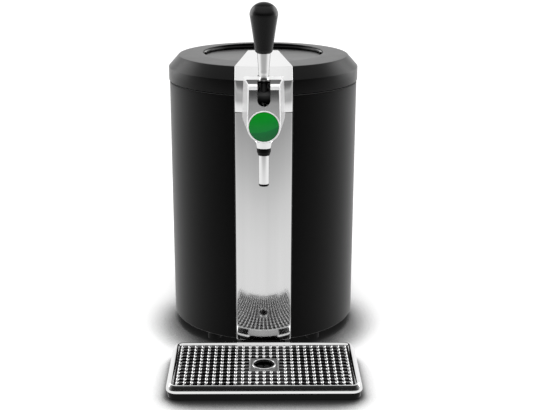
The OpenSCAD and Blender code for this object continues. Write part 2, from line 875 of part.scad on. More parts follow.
module hinge_pin() color(STEEL) at_axis() {
    length = hinge_barrel_l + 2 * gap + 2 * hinge_ear_t;
    translate([-length / 2, hinge_y, hinge_z]) rotate([0, 90, 0])
        cylinder(h = length, r = hinge_pin_r);
    for (side = [-1, 1]) {
        translate([side * (length / 2 + 0.75 + gap / 3) - 0.75, hinge_y, hinge_z]) rotate([0, 90, 0])
            cylinder(h = 1.5, r = hinge_pin_r + 1.5);
    }
    translate([-length / 2 - 1, hinge_y, hinge_z]) rotate([0, 90, 0])
        cylinder(h = length + 2, r = hinge_pin_r - 0.5);
}

module lid_profile(inset, low) {
    slope_a = atan(shoulder_w / shoulder_h);
    side_shift = inset * tan(slope_a / 2);
    top_shift = inset * tan((90 - slope_a) / 2);
    polygon([
        [0, low],
        [lid_r - inset, low],
        [lid_r - inset, lid_z1 - side_shift],
        [lid_top_r - top_shift, lid_z2 - inset],
        [0, lid_z2 - inset]
    ]);
}

// Everything above the sloping floor of the sunken top, lowered by drop
module above_dish(drop) {
    translate([-far / 2, dish_front_y, lid_z2 - drop]) rotate([-dish_slope, 0, 0])
        translate([0, -far / 2, 0]) cube([far, far * 1.5, far / 4]);
}

module dish_well(r, drop) {
    intersection() {
        translate([0, dish_back, lid_z0]) cylinder(h = far / 4, r = r);
        above_dish(drop);
    }
}

// Plan of the bright cover: narrow at the back, panel width at the front
module bonnet_plan(extra) {
    w1 = bonnet_back_w / 2 + extra;
    w0 = panel_w / 2 + extra;
    y0 = -lid_top_r * cos(asin(panel_w / 2 / lid_top_r));
    polygon([
        [-w0, -panel_r - 2],
        [w0, -panel_r - 2],
        [w0, y0],
        [w1, bonnet_back_y + extra],
        [-w1, bonnet_back_y + extra],
        [-w0, y0]
    ]);
}

module lid_shell() color(BLACK) at_axis() {
    difference() {
        rotate_extrude() lid_profile(0, lid_z0);
        difference() {
            rotate_extrude() lid_profile(lid_t, lid_z0 - 1);
            dish_well(dish_r + lid_t / 2 + 1, disc_t + gap + lid_t - 0.5);
        }
        dish_well(dish_r, disc_t + gap);
        intersection() {
            linear_extrude(far) bonnet_plan(gap);
            difference() {
                rotate_extrude() lid_profile(-2, lid_z0 - 1);
                rotate_extrude() lid_profile(bonnet_t + bonnet_skin, lid_z0 - 2);
            }
        }
        translate([0, 0, line_z]) rotate([90, 0, 0]) cylinder(h = far, r = line_hole_r);
    }
}

module lid_disc() color(GRAPHITE) at_axis() {
    difference() {
        dish_well(dish_r - gap, disc_t);
        above_dish(0);
        translate([0, 0, lid_z2 - bonnet_t - bonnet_skin]) linear_extrude(far) bonnet_plan(gap);
    }
}

// Rounded bead round the back of the sunken top, a finger grip for lifting the lid
module lid_grip_bead() color(BLACK) at_axis() translate([0, dish_back, 0]) {
    ring_r = dish_r - gap - bead_r - bead_inset;
    bead_z = lid_z2 - dish_depth / 2;
    lift = (bead_r + 0.3) / cos(dish_slope);
    translate([0, 0, bead_z + lift]) rotate([-dish_slope, 0, 0]) {
        rotate([0, 0, 90 - bead_half_angle]) rotate_extrude(angle = 2 * bead_half_angle)
            translate([ring_r, 0]) circle(r = bead_r);
        for (side = [-1, 1]) {
            rotate([0, 0, 90 + side * bead_half_angle]) translate([ring_r, 0, 0])
                sphere(r = bead_r + 0.15);
        }
    }
}

module chrome_bonnet() color(CHROME) at_axis() {
    intersection() {
        linear_extrude(far * 2) bonnet_plan(0);
        union() {
            difference() {
                rotate_extrude() lid_profile(-bonnet_proud, lid_z0);
                rotate_extrude() lid_profile(bonnet_t, lid_z0 - 1);
                translate([0, 0, line_z]) rotate([90, 0, 0]) cylinder(h = far, r = line_hole_r);
            }
            difference() {
                dish_well(dish_r - gap, -gap / 2);
                translate([0, 0, lid_z2]) cylinder(h = far, r = far);
            }
            translate([0, 0, panel_z1 + bonnet_joint])
                tube(panel_r - bonnet_t, panel_r, lid_z0 - panel_z1 - bonnet_joint + eps);
        }
    }
}

module lid_liner() color(WHITE) at_axis() {
    difference() {
        union() {
            translate([0, 0, flange_z0]) cylinder(h = flange_t, r = lid_in_r - gap);
            translate([0, 0, plug_z0]) cylinder(h = plug_h + eps, r = plug_r);
        }
        translate([0, 0, plug_z0 + plug_t]) cylinder(h = far, r = plug_r - plug_t);
        cylinder(h = far, r = line_hole_r);
    }
}

module lid_foam() color(FOAM) at_axis() {
    foam_z0 = flange_z0 + flange_t;
    plug_foam_z0 = plug_z0 + plug_t + gap;
    groove_half = line_hole_r + 1;
    groove_z0 = line_z - line_kink_r - 6;
    foam_z1 = lid_z2 - dish_depth - disc_t - lid_t - 3 * gap;
    difference() {
        union() {
            intersection() {
                translate([0, 0, foam_z0]) cylinder(h = foam_z1 - foam_z0, r = lid_in_r - gap);
                rotate_extrude() lid_profile(lid_t + gap, lid_z0);
            }
            translate([0, 0, plug_foam_z0])
                cylinder(h = foam_z0 - plug_foam_z0 + eps, r = plug_r - plug_t - gap);
        }
        cylinder(h = far, r = groove_half);
        centred_box(2 * groove_half, -far, groove_half + 1, groove_z0, far);
    }
}

module lid_gasket() color(GRAPHITE) at_axis() {
    translate([0, 0, collar_z1 + gap])
        tube(gasket_r, gasket_r + gasket_w, flange_z0 - collar_z1 - gap);
}

module lid_hinge_arm() color(BLACK) at_axis() {
    difference() {
        union() {
            translate([-hinge_barrel_l / 2, hinge_y, hinge_z]) rotate([0, 90, 0])
                cylinder(h = hinge_barrel_l, r = hinge_barrel_r);
            centred_box(hinge_barrel_l, hinge_y - hinge_arm_l, hinge_y + hinge_barrel_r / 2,
                hinge_z + 2, hinge_z + 2 + skirt_h * 0.7);
        }
        translate([0, hinge_y, hinge_z]) rotate([0, 90, 0]) translate([0, 0, -far / 2])
            cylinder(h = far, r = hinge_pin_r + run_fit);
        translate([0, 0, lid_z0 - 1]) cylinder(h = far, r = lid_r + gap / 3);
        cylinder(h = lid_z0 - 0.9, r = body_r + gap);
    }
}

module keg_coupler() color(BLACK) at_axis() {
    socket_t = 4;
    socket_h = 10;
    coupler_z0 = plug_z0 - coupler_l;
    difference() {
        union() {
            translate([0, 0, plug_z0 - coupler_flange_h])
                cylinder(h = coupler_flange_h, r = coupler_r + coupler_flange_w);
            translate([0, 0, coupler_z0]) cylinder(h = coupler_l - eps, r = coupler_r);
        }
        cylinder(h = far, r = line_hole_r);
        translate([0, 0, coupler_z0 - 1]) cylinder(h = socket_h + 1, r = coupler_r - socket_t);
    }
}

// ---- Tap ----

// One cross piece of the tap: an upright outline with a half round foot
module tap_outline(r, foot_z, top) {
    top_r = r * tap_top_ratio;
    translate([0, foot_z]) circle(r = r);
    polygon([[-r, foot_z], [r, foot_z], [top_r, top], [-top_r, top]]);
}

module upright(y, t) {
    translate([0, y + t, 0]) rotate([90, 0, 0]) linear_extrude(t) children();
}

module tap_body(inset) {
    slice = 0.5;
    hull() {
        upright(tap_y0 + inset, slice)
            tap_outline(tap_front_r - inset, badge_z, tap_z1 - tap_bevel - inset, $fn = 48);
        upright(tap_y0 + tap_bevel + inset, slice)
            tap_outline(tap_front_r + slice - inset, badge_z, tap_z1 - inset, $fn = 48);
        upright(-lid_top_r, slice)
            tap_outline(tap_root_r - inset, badge_z + tap_root_rise, tap_z1 - inset, $fn = 48);
    }
}

module tap_housing() color(CHROME) at_axis() {
    difference() {
        tap_body(0);
        difference() {
            tap_body(tap_t);
            cylinder(h = far * 2, r = panel_r + 1 + tap_t);
        }
        cylinder(h = lid_z0, r = panel_r + 0.8);
        rotate_extrude() lid_profile(-bonnet_proud - gap / 3, lid_z0 - 1);
        tap_face_cut(gap / 2);
        tap_slot();
        translate([0, 0, tap_z1 - tap_plate_t - gap / 2]) linear_extrude(far)
            tap_plate_plan(gap / 2);
        translate([0, spout_y, tap_z0 - 2]) cylinder(h = 12, r = spout_bore_r + 0.4);
        translate([0, 0, line_z]) rotate([90, 0, 0]) cylinder(h = panel_r + 6, r = line_hole_r);
        translate([-far / 2, pivot_y, pivot_z]) rotate([0, 90, 0])
            cylinder(h = far, r = pivot_pin_r + run_fit);
    }
}

// Slot that the lever swings through, cut from the top down the front face
module tap_slot() {
    centred_box(2 * slot_half_w, tap_y0 - 5, pivot_y + slot_half_w, pivot_z, far * 2);
    translate([0, pivot_y, pivot_z]) rotate([90, 0, 0]) cylinder(h = far, r = slot_half_w);
}

module tap_face_cut(extra) {
    r = tap_front_r - face_inset + extra;
    upright(tap_y0 - 1, face_t + 1 + extra) intersection() {
        tap_outline(r, badge_z, face_z1 + extra);
        translate([-far, -far]) square([2 * far, far + face_z1 + extra]);
    }
}

module tap_face() color(STEEL) at_axis() {
    difference() {
        intersection() {
            tap_face_cut(0);
            translate([-far / 2, tap_y0, 0]) cube([far, far, far * 2]);
        }
        tap_slot();
    }
}

// The plate follows the flare of the tap's top, a narrow rim inside it
module tap_plate_plan(extra) {
    function half(y) = tap_top_ratio * (tap_front_r + tap_flare * (y - tap_y0)) - tap_plate_rim;
    y0 = tap_plate_y0 - extra;
    y1 = tap_plate_y1 + extra;
    polygon([
        [-half(y0) - extra, y0],
        [half(y0) + extra, y0],
        [half(y1) + extra, y1],
        [-half(y1) - extra, y1]
    ]);
}

module tap_top_plate() color(GRAPHITE) at_axis() {
    difference() {
        translate([0, 0, tap_z1 - tap_plate_t]) linear_extrude(tap_plate_t) tap_plate_plan(0);
        tap_slot();
    }
}

// Chassis inside the tap: two cheeks beside the lever, the back rest of the beer line and
// the guide of the pinch slider
module tap_core() color(BLACK) at_axis() {
    core_y0 = tap_y0 + tap_bevel + tap_t + gap;
    core_y1 = line_drop_y + line_hole_r + 1.6;
    low = pivot_z - 14;
    high = tap_z1 - tap_t - gap;
    difference() {
        union() {
            for (side = [-1, 1]) {
                translate([side * (slot_half_w + cheek_w / 2 + gap / 3), 0, 0])
                    centred_box(cheek_w, core_y0, core_y1, low, high);
            }
            centred_box(2 * slot_half_w + 1, core_y0, core_y0 + 12, low, low + cheek_w);
            centred_box(2 * slot_half_w + 1, line_drop_y + line_hole_r, core_y1, low, line_z - 8);
        }
        translate([-far / 2, pivot_y, pivot_z]) rotate([0, 90, 0])
            cylinder(h = far, r = pivot_pin_r + run_fit);
    }
}

module badge_bezel() color(WHITE) at_axis() {
    translate([0, tap_y0, badge_z]) rotate([90, 0, 0]) tube(badge_r + gap / 2, badge_r + bezel_w, 2);
}

module badge() color(GREEN) at_axis() {
    dome_r = (pow(badge_r, 2) + pow(badge_dome_h, 2)) / (2 * badge_dome_h);
    translate([0, tap_y0, badge_z]) rotate([90, 0, 0]) rotate_extrude() {
        square([badge_r, badge_rim_h]);
        intersection() {
            translate([0, badge_rim_h - eps]) square([badge_r, badge_dome_h + eps]);
            translate([0, badge_rim_h + badge_dome_h - dome_r]) circle(r = dome_r, $fn = 360);
        }
    }
}

module spout_neck() color(CHROME) at_axis() translate([0, spout_y, 0]) {
    sunk_h = neck_h + 6;
    difference() {
        translate([0, 0, neck_z0]) cylinder(h = sunk_h, r1 = neck_low_r,
            r2 = neck_low_r + (neck_top_r - neck_low_r) * sunk_h / neck_h);
        cylinder(h = far, r = spout_bore_r);
        translate([0, -spout_y, 0]) tap_body(-gap / 3);
    }
}

module spout_ring() color(BLACK) at_axis() translate([0, spout_y, spout_ring_z0]) {
    half_h = collar_ring_h / 2;
    difference() {
        union() {
            cylinder(h = half_h, r1 = spout_r + 0.6, r2 = neck_low_r - 1);
            translate([0, 0, half_h]) cylinder(h = half_h, r = neck_low_r - 0.8);
        }
        translate([0, 0, -1]) cylinder(h = collar_ring_h + 2, r = spout_bore_r);
    }
}

module spout_tube() color(CHROME) at_axis() translate([0, spout_y, spout_z0]) {
    tube(spout_bore_r, spout_r, spout_l);
}

module spout_tip() color(BLACK) at_axis() translate([0, spout_y, tip_z0]) {
    tube(line_hole_r, spout_r - 0.3, tip_h);
}

module torus_part(bend, tube_out, tube_in, start, sweep) {
    rotate([0, 0, start]) rotate_extrude(angle = sweep) translate([bend, 0]) difference() {
        circle(r = tube_out);
        circle(r = tube_in);
    }
}

// Straight run of the beer line along Z or along -Y
module line_up(y, z0, z1) {
    translate([0, y, z0]) tube(line_bore_r, line_r, z1 - z0);
}
module line_forward(z, y0, y1) {
    translate([0, y1, z]) rotate([90, 0, 0]) tube(line_bore_r, line_r, y1 - y0);
}

// Beer line: up from the coupler, forward under the lid's top, down through the tap
module beer_line() color(WHITE) at_axis() {
    rise_z1 = line_z - line_kink_r;
    rise_z0 = plug_z0 - coupler_l / 2 - 2;
    turn_y = spout_y + line_kink_r;
    line_up(0, rise_z0, rise_z1);
    translate([0, -line_kink_r, rise_z1]) rotate([90, 0, 90])
        torus_part(line_kink_r, line_r, line_bore_r, 0, 90);
    line_forward(line_z, line_drop_y + line_bend_r, -line_kink_r);
    translate([0, line_drop_y + line_bend_r, line_z - line_bend_r]) rotate([90, 0, 90])
        torus_part(line_bend_r, line_r, line_bore_r, 90, 90);
    line_up(line_drop_y, line_kink_z + line_kink_r, line_z - line_bend_r);
    translate([0, line_drop_y - line_kink_r, line_kink_z + line_kink_r]) rotate([90, 0, 90])
        torus_part(line_kink_r, line_r, line_bore_r, 270, 90);
    line_forward(line_kink_z, turn_y, line_drop_y - line_kink_r);
    translate([0, turn_y, line_kink_z - line_kink_r]) rotate([90, 0, 90])
        torus_part(line_kink_r, line_r, line_bore_r, 90, 90);
    line_up(spout_y, tip_z0 + 1, line_kink_z - line_kink_r);
}

module lever_pin() color(STEEL) at_axis() {
    half = tap_front_r - 1.5;
    translate([-half, pivot_y, pivot_z]) rotate([0, 90, 0]) cylinder(h = 2 * half, r = pivot_pin_r);
}

// ---- Tap lever ----

module lever_stem() color(CHROME) at_axis() translate([0, pivot_y, 0]) {
    hub_w = 2 * slot_half_w - 2 * gap;
    straight_z1 = tap_z1 + stem_straight_h;
    difference() {
        union() {
            translate([-hub_w / 2, 0, pivot_z]) rotate([0, 90, 0]) cylinder(h = hub_w, r = hub_r);
            translate([0, 0, pivot_z]) cylinder(h = straight_z1 - pivot_z, r = stem_r);
            translate([0, 0, straight_z1 - eps])
                cylinder(h = grip_z0 + stem_sunk_h - straight_z1, r1 = stem_r, r2 = stem_top_r);
            translate([0, 0, grip_z0 + stem_sunk_h - 2 * eps]) cylinder(h = stud_l, r = stud_r);
        }
        translate([-far / 2, 0, pivot_z]) rotate([0, 90, 0])
            cylinder(h = far, r = pivot_pin_r + run_fit);
    }
}

module lever_collar() color(BLACK) at_axis() translate([0, pivot_y, collar_low_z]) {
    tube(stem_r + gap / 6, slot_half_w - gap, lever_collar_h);
}

// Half outline of the grip: rounded foot, slow taper, domed top
function grip_outline() = concat(
    [for (a = [0:15:90]) [grip_low_r * sin(a), grip_low_h * (1 - cos(a))]],
    [for (t = [0.125:0.125:1]) [
        grip_low_r + (grip_r - grip_low_r) * pow(t, 1.1),
        grip_low_h + t * (grip_l - grip_dome_h - grip_low_h)
    ]],
    [for (a = [15:15:90]) [grip_r * cos(a), grip_l - grip_dome_h * (1 - sin(a))]]
);

module grip_solid() {
    rotate_extrude() polygon(grip_outline());
}

module tap_handle() color(BLACK) at_axis() translate([0, pivot_y, grip_z0]) {
    difference() {
        grip_solid();
        translate([0, 0, grip_l - cap_h]) cylinder(h = far, r = far);
        translate([0, 0, -1]) cylinder(h = stem_sunk_h + 1 + gap, r = stem_top_r + gap / 3);
        cylinder(h = stem_sunk_h + stud_l + gap, r = stud_r + gap / 3);
    }
}

module handle_cap() color(GRAPHITE) at_axis() translate([0, pivot_y, grip_z0]) {
    intersection() {
        grip_solid();
        translate([0, 0, grip_l - cap_h]) cylinder(h = cap_h + 1, r = far);
    }
}

module pinch_slider() color(WHITE) at_axis() {
    y1 = line_drop_y - line_hole_r;
    y0 = pivot_y + hub_r + pinch_travel + 0.5;
    w = 2 * slot_half_w - 1;
    translate([-w / 2, y0, pivot_z - slider_h / 2]) cube([w, y1 - y0, slider_h]);
}

// ---- Drip tray ----

module tray_rect(w, d, r, z, h) {
    translate([0, tray_mid_y, z]) linear_extrude(h) round_rect(w, d, r);
}

module well_rect(w, d, r, z, h) {
    translate([0, well_mid_y, z]) linear_extrude(h) round_rect(w, d, r);
}

module tray_pan() color(BLACK) at_axis() {
    wall_in = frame_back_w - pan_t - 1;
    tongue_y1 = tray_y1 + tray_gap + shell_t + tongue_reach;
    difference() {
        union() {
            tray_rect(tray_w - 2 * tray_foot_inset, tray_d - 2 * tray_foot_inset,
                tray_corner_r - tray_foot_inset, pad_h, frame_z0 - pad_h - gap / 3);
            well_rect(pan_w, pan_d, pan_corner_r, pad_h, ledge_z1 - ledge_t - gap - pad_h);
        }
        well_rect(pan_w - 2 * pan_t, pan_d - 2 * pan_t, well_corner_r, pad_h + pan_t, far);
    }
    centred_box(tongue_w, tray_y1 - wall_in, tongue_y1, pad_h, pad_h + tongue_t);
}

module tray_pads() color(GRAPHITE) at_axis() {
    for (x = [-1, 1]) {
        for (y = [-1, 1]) {
            translate([x * (tray_w / 2 - 22), tray_mid_y + y * (tray_d / 2 - 20), 0])
                cylinder(h = pad_h, r = 7);
        }
    }
}

module tray_frame() color(CHROME) at_axis() {
    edge = 2.5;
    difference() {
        union() {
            tray_rect(tray_w, tray_d, tray_corner_r, frame_z0, frame_h - edge);
            tray_rect(tray_w - 2, tray_d - 2, tray_corner_r - 1, frame_z0, frame_h - 1);
            tray_rect(tray_w - 2 * edge, tray_d - 2 * edge, tray_corner_r - edge, frame_z0, frame_h);
        }
        well_rect(well_w, well_d, well_corner_r, 0, far);
        well_rect(pan_w + 2 * gap, pan_d + 2 * gap, pan_corner_r + gap, 0, ledge_z1 - ledge_t);
    }
    difference() {
        well_rect(well_w + 1, well_d + 1, well_corner_r, ledge_z1 - ledge_t, ledge_t);
        well_rect(well_w - 2 * ledge_w, well_d - 2 * ledge_w, 2, 0, far);
    }
}

module drip_grille() color(STEEL) at_axis() {
    w = well_w - 2 * gap;
    d = well_d - 2 * gap;
    pitch_x = (w - bar_w) / (bars_x - 1);
    pitch_y = (d - bar_w) / (bars_y - 1);
    translate([0, well_mid_y, grille_z0]) difference() {
        intersection() {
            linear_extrude(bar_t) round_rect(w, d, well_corner_r - gap);
            union() {
                for (i = [0:bars_x - 1]) {
                    translate([-w / 2 + i * pitch_x, -d / 2, 0]) cube([bar_w, d, bar_t]);
                }
                for (i = [0:bars_y - 1]) {
                    translate([-w / 2, -d / 2 + i * pitch_y, 0]) cube([w, bar_w, bar_t]);
                }
                centred_box(drain_plate_w, -drain_plate_w / 2, drain_plate_w / 2, 0, bar_t);
            }
        }
        translate([0, 0, -1]) cylinder(h = bar_t + 2, r = drain_r + drain_lip);
    }
}

module drain_ring() color(CHROME) at_axis() translate([0, well_mid_y, grille_z0]) {
    difference() {
        union() {
            translate([0, 0, bar_t]) cylinder(h = 1, r = drain_r + drain_ring_w);
            translate([0, 0, -1]) cylinder(h = bar_t + 1 + eps, r = drain_r + drain_lip - gap / 3);
        }
        translate([0, 0, -2]) cylinder(h = far, r = drain_r);
    }
}

outer_shell();
front_panel();
panel_carrier();
base_plate();
rubber_feet();
inner_deck();
deck_screws();
floor_foam();
foam_jacket();
keg_liner();
top_collar();
cold_block();
thermoelectric_plate();
cold_gasket();
heat_sink();
fan_frame();
fan_rotor();
rear_housing();
rear_grille();
power_inlet();
switch_bezel();
power_rocker();
control_board();
board_components();
power_supply();
temperature_sensor();
hinge_bracket();
hinge_pin();
lid_shell();
lid_disc();
lid_grip_bead();
chrome_bonnet();
lid_liner();
lid_foam();
lid_gasket();
lid_hinge_arm();
keg_coupler();
beer_line();
tap_housing();
tap_core();
tap_face();
tap_top_plate();
badge_bezel();
badge();
spout_neck();
spout_ring();
spout_tube();
spout_tip();
lever_pin();
lever_stem();
lever_collar();
tap_handle();
handle_cap();
pinch_slider();
tray_pan();
tray_pads();
tray_frame();
drip_grille();
drain_ring();
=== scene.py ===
import json
import math

import bmesh
import bpy
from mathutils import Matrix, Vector


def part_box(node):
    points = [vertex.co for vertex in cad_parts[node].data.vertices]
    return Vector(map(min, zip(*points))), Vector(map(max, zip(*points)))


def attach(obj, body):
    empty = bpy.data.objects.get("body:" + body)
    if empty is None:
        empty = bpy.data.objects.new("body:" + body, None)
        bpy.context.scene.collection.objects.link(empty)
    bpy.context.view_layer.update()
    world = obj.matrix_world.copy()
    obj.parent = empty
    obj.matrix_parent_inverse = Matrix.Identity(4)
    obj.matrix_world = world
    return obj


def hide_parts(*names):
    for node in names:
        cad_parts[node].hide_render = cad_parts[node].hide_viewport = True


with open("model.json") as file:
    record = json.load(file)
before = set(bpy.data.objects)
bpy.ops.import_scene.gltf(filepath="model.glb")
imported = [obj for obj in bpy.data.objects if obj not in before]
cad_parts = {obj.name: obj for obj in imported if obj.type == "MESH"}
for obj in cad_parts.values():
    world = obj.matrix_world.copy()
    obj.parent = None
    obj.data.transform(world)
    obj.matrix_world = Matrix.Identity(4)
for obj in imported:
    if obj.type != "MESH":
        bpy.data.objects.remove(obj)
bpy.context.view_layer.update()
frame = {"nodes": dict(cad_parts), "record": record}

MM = 0.001
NODES = frame["nodes"]
RECORD = frame["record"]


# ---- Camera: the photograph's place and lens, in metres and radians about the housing's axis ----

liner_low, liner_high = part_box("keg_liner")
AXIS_Y = (liner_low.y + liner_high.y) / 2
CAMERA_DISTANCE = 1.4208
CAMERA_HEIGHT = 0.5984
CAMERA_PITCH = 0.2941
CAMERA_YAW = 0.0051
# The sensor's width is in millimetres, the next three are in pixels of the photograph
SENSOR = 36.0
FOCAL_PIXELS = 1022.88
IMAGE_WIDTH = 537
CENTRE_X = 263.16


def make_camera():
    data = bpy.data.cameras.new("camera")
    camera = bpy.data.objects.new("camera", data)
    bpy.context.collection.objects.link(camera)
    camera.location = (
        -CAMERA_DISTANCE * math.sin(CAMERA_YAW),
        AXIS_Y - CAMERA_DISTANCE * math.cos(CAMERA_YAW),
        CAMERA_HEIGHT,
    )
    camera.rotation_euler = (math.pi / 2 - CAMERA_PITCH, 0, -CAMERA_YAW)
    data.sensor_width = SENSOR
    data.lens = FOCAL_PIXELS * SENSOR / IMAGE_WIDTH
    data.shift_x = (IMAGE_WIDTH / 2 - CENTRE_X) / IMAGE_WIDTH
    bpy.context.scene.camera = camera


make_camera()


# ---- Sizes of the main shapes in millimetres, about the housing's axis ----


def span(node):
    """The lowest and the highest corner of a CAD node's box."""
    low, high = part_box(node)
    shift = Vector((0, AXIS_Y, 0))
    return (low - shift) / MM, (high - shift) / MM


shell_lo, shell_hi = span("outer_shell")
panel_lo, panel_hi = span("front_panel")
lid_lo, lid_hi = span("lid_shell")
tap_lo, tap_hi = span("tap_housing")
bonnet_lo, bonnet_hi = span("chrome_bonnet")

BODY_R = shell_hi.x
SHELL_T = 2.5
PANEL_R = -panel_lo.y
PANEL_HALF_W = panel_hi.x
PANEL_T = 1.6

# The lid stands on its skirt, leans in over its shoulder and is sunk in the middle
LID_R = lid_hi.x
LID_LOW = lid_lo.z
SKIRT_TOP = LID_LOW + 17.9
LID_TOP = lid_hi.z
LID_TOP_R = LID_R - 14
LID_FLAT_R = LID_TOP_R - 6
LID_T = 3.5
DISH_R = 84
DISH_BACK = 20
DISH_FRONT = DISH_BACK - DISH_R
DISH_DEPTH = 8
DISC_T = 2.5
GAP = 0.3

TAP_FRONT = tap_lo.y
TAP_TOP = tap_hi.z
FACE_R = 21
BADGE_Z = TAP_TOP - 52.7


def at(x, y, z):
    """A point given in millimetres about the axis, in the frame's metres."""
    return Vector((x * MM, y * MM + AXIS_Y, z * MM))


def upright_point(x, z, y):
    """The same for an outline that stands upright and is carried from front to back."""
    return at(x, y, z)


# ---- Materials ----

MATERIALS = {}
# Noise scales of a moulded surface: slow changes of tone, faster ones of gloss
TONE_SCALE = 14
GLOSS_SCALE = 45


def grey(value):
    return (value, value, value)


class Nodes:
    """Adds nodes to a node tree and joins them."""

    def __init__(self, tree):
        self.tree = tree
        self.coords = self.node("ShaderNodeTexCoord")

    def node(self, kind, **values):
        """A new node; a value goes to the input of its name, or else to the node itself."""
        made = self.tree.nodes.new(kind)
        for key, value in values.items():
            if key in made.inputs:
                made.inputs[key].default_value = value
            else:
                setattr(made, key, value)
        return made

    def join(self, source, target):
        self.tree.links.new(source, target)

    def split(self, coordinates="Object"):
        """The place's X, Y and Z."""
        split = self.node("ShaderNodeSeparateXYZ")
        self.join(self.coords.outputs[coordinates], split.inputs["Vector"])
        return split.outputs

    def noise(self, scale, stretch=(1, 1, 1), detail=3.0):
        mapping = self.node("ShaderNodeMapping", Scale=stretch)
        self.join(self.coords.outputs["Object"], mapping.inputs["Vector"])
        noise = self.node("ShaderNodeTexNoise", Scale=scale, Detail=detail)
        self.join(mapping.outputs["Vector"], noise.inputs["Vector"])
        return noise.outputs["Fac"]

    def ranged(self, source, low, high):
        """How far the source is on its way from low to high, from 0 to 1."""
        ranged = self.node("ShaderNodeMapRange")
        ranged.inputs["From Min"].default_value = low
        ranged.inputs["From Max"].default_value = high
        self.join(source, ranged.inputs["Value"])
        return ranged.outputs["Result"]

    def ramp(self, source, stops):
        ramp = self.node("ShaderNodeValToRGB")
        elements = ramp.color_ramp.elements
        while len(elements) < len(stops):
            elements.new(0.5)
        for element, (place, colour) in zip(elements, stops):
            element.position = place
            element.color = (*colour, 1)
        self.join(source, ramp.inputs["Fac"])
        return ramp.outputs["Color"]

    def maths(self, operation, source, other):
        """One operation on two values, of which the second may be a plain number."""
        made = self.node("ShaderNodeMath", operation=operation)
        self.join(source, made.inputs[0])
        if isinstance(other, (int, float)):
            made.inputs[1].default_value = other
        else:
            self.join(other, made.inputs[1])
        return made.outputs["Value"]

    def mix(self, blend, first, second):
        """Two colours, wholly blended in the named way."""
        mix = self.node("ShaderNodeMix", data_type="RGBA", blend_type=blend)
        mix.inputs["Factor"].default_value = 1.0
        self.join(first, mix.inputs["A"])
        self.join(second, mix.inputs["B"])
        return mix.outputs["Result"]

    def choose(self, factor, first, second):
        """The first shader where the factor is 0, the second where it is 1."""
        mix = self.node("ShaderNodeMixShader")
        self.join(factor, mix.inputs["Fac"])
        self.join(first, mix.inputs[1])
        self.join(second, mix.inputs[2])
        return mix.outputs["Shader"]


class Surface(Nodes):
    """A new material, with what its own shader needs."""

    def __init__(self, name):
        self.material = bpy.data.materials.new(name)
        self.material.use_nodes = True
        super().__init__(self.material.node_tree)
        self.shader = self.tree.nodes["Principled BSDF"]
        MATERIALS[name] = self.material

    def colour(self, source, low, high):
        """Base colour that passes from low to high in the middle of the source's range."""
        self.join(self.ramp(source, [(0.3, low), (0.7, high)]), self.shader.inputs["Base Color"])

    def rough(self, source, low, high):
        ranged = self.node("ShaderNodeMapRange")
        ranged.inputs["To Min"].default_value = low
        ranged.inputs["To Max"].default_value = high
        self.join(source, ranged.inputs["Value"])
        self.join(ranged.outputs["Result"], self.shader.inputs["Roughness"])

    def bump(self, source, depth):
        bump = self.node("ShaderNodeBump", Strength=1.0, Distance=depth)
        self.join(source, bump.inputs["Height"])
        self.join(bump.outputs["Normal"], self.shader.inputs["Normal"])

    def set(self, **values):
        for key, value in values.items():
            self.shader.inputs[key.replace("_", " ")].default_value = value


def plastic(name, low, high, rough, grain=1400, depth=0.00002, **sockets):
    """Moulded plastic: slow tone changes, a fine spark-eroded grain, uneven gloss."""
    made = Surface(name)
    made.colour(made.noise(TONE_SCALE), low, high)
    made.rough(made.noise(GLOSS_SCALE, detail=5.0), *rough)
    made.bump(made.noise(grain, detail=2.0), depth)
    made.set(**sockets)


def metal(name, low, high, rough, stretch=(1, 1, 1), scale=30, depth=0.000004, metallic=1.0):
    """Plated or brushed metal: its lines follow the stretch of the noise."""
    made = Surface(name)
    made.colour(made.noise(scale, stretch), low, high)
    made.rough(made.noise(scale * 2, stretch, detail=6.0), *rough)
    made.bump(made.noise(scale * 8, stretch, detail=4.0), depth)
    made.set(Metallic=metallic)


plastic("black_satin", grey(0.0001), grey(0.0003), (0.34, 0.42), Specular_IOR_Level=0.01,
        Sheen_Weight=0.43, Sheen_Roughness=0.42)
plastic("lid_black", grey(0.0004), grey(0.0008), (0.26, 0.32), Specular_IOR_Level=0.12,
        Sheen_Weight=0.15, Sheen_Roughness=0.35)
plastic("disc_graphite", grey(0.03), grey(0.04), (0.30, 0.38), Specular_IOR_Level=0.5)
plastic("gloss_black", grey(0.0005), grey(0.001), (0.06, 0.11), grain=300, depth=0.000003,
        Specular_IOR_Level=0.1)
plastic("grip_black", grey(0.0004), grey(0.0008), (0.24, 0.3), Specular_IOR_Level=0.25,
        Sheen_Weight=0.25, Sheen_Roughness=0.35)
plastic("inner_black", grey(0.008), grey(0.014), (0.45, 0.6))
plastic("component_black", grey(0.012), grey(0.02), (0.4, 0.55))
plastic("rubber", grey(0.003), grey(0.006), (0.65, 0.8), grain=2200, depth=0.00004,
        Specular_IOR_Level=0.15)
plastic("inner_white", grey(0.72), grey(0.8), (0.35, 0.45))
plastic("pale_ring", grey(0.72), grey(0.82), (0.12, 0.2), grain=500, depth=0.000005)
plastic("white_ceramic", grey(0.78), grey(0.86), (0.3, 0.4), grain=900)
plastic("circuit_green", (0.004, 0.09, 0.025), (0.008, 0.13, 0.04), (0.25, 0.4))
plastic("supply_grey", grey(0.28), grey(0.36), (0.4, 0.55))
plastic("foam", (0.66, 0.6, 0.4), (0.78, 0.72, 0.5), (0.85, 0.95), grain=500, depth=0.0003)
plastic("line_clear", grey(0.75), grey(0.85), (0.1, 0.2), Transmission_Weight=0.6)
for chrome_name in ("chrome", "spout_chrome"):
    metal(chrome_name, grey(0.80), grey(0.84), (0.03, 0.06), scale=12)
metal("brushed_panel", grey(0.66), grey(0.70), (0.06, 0.10), stretch=(1, 1, 0.02), scale=60)
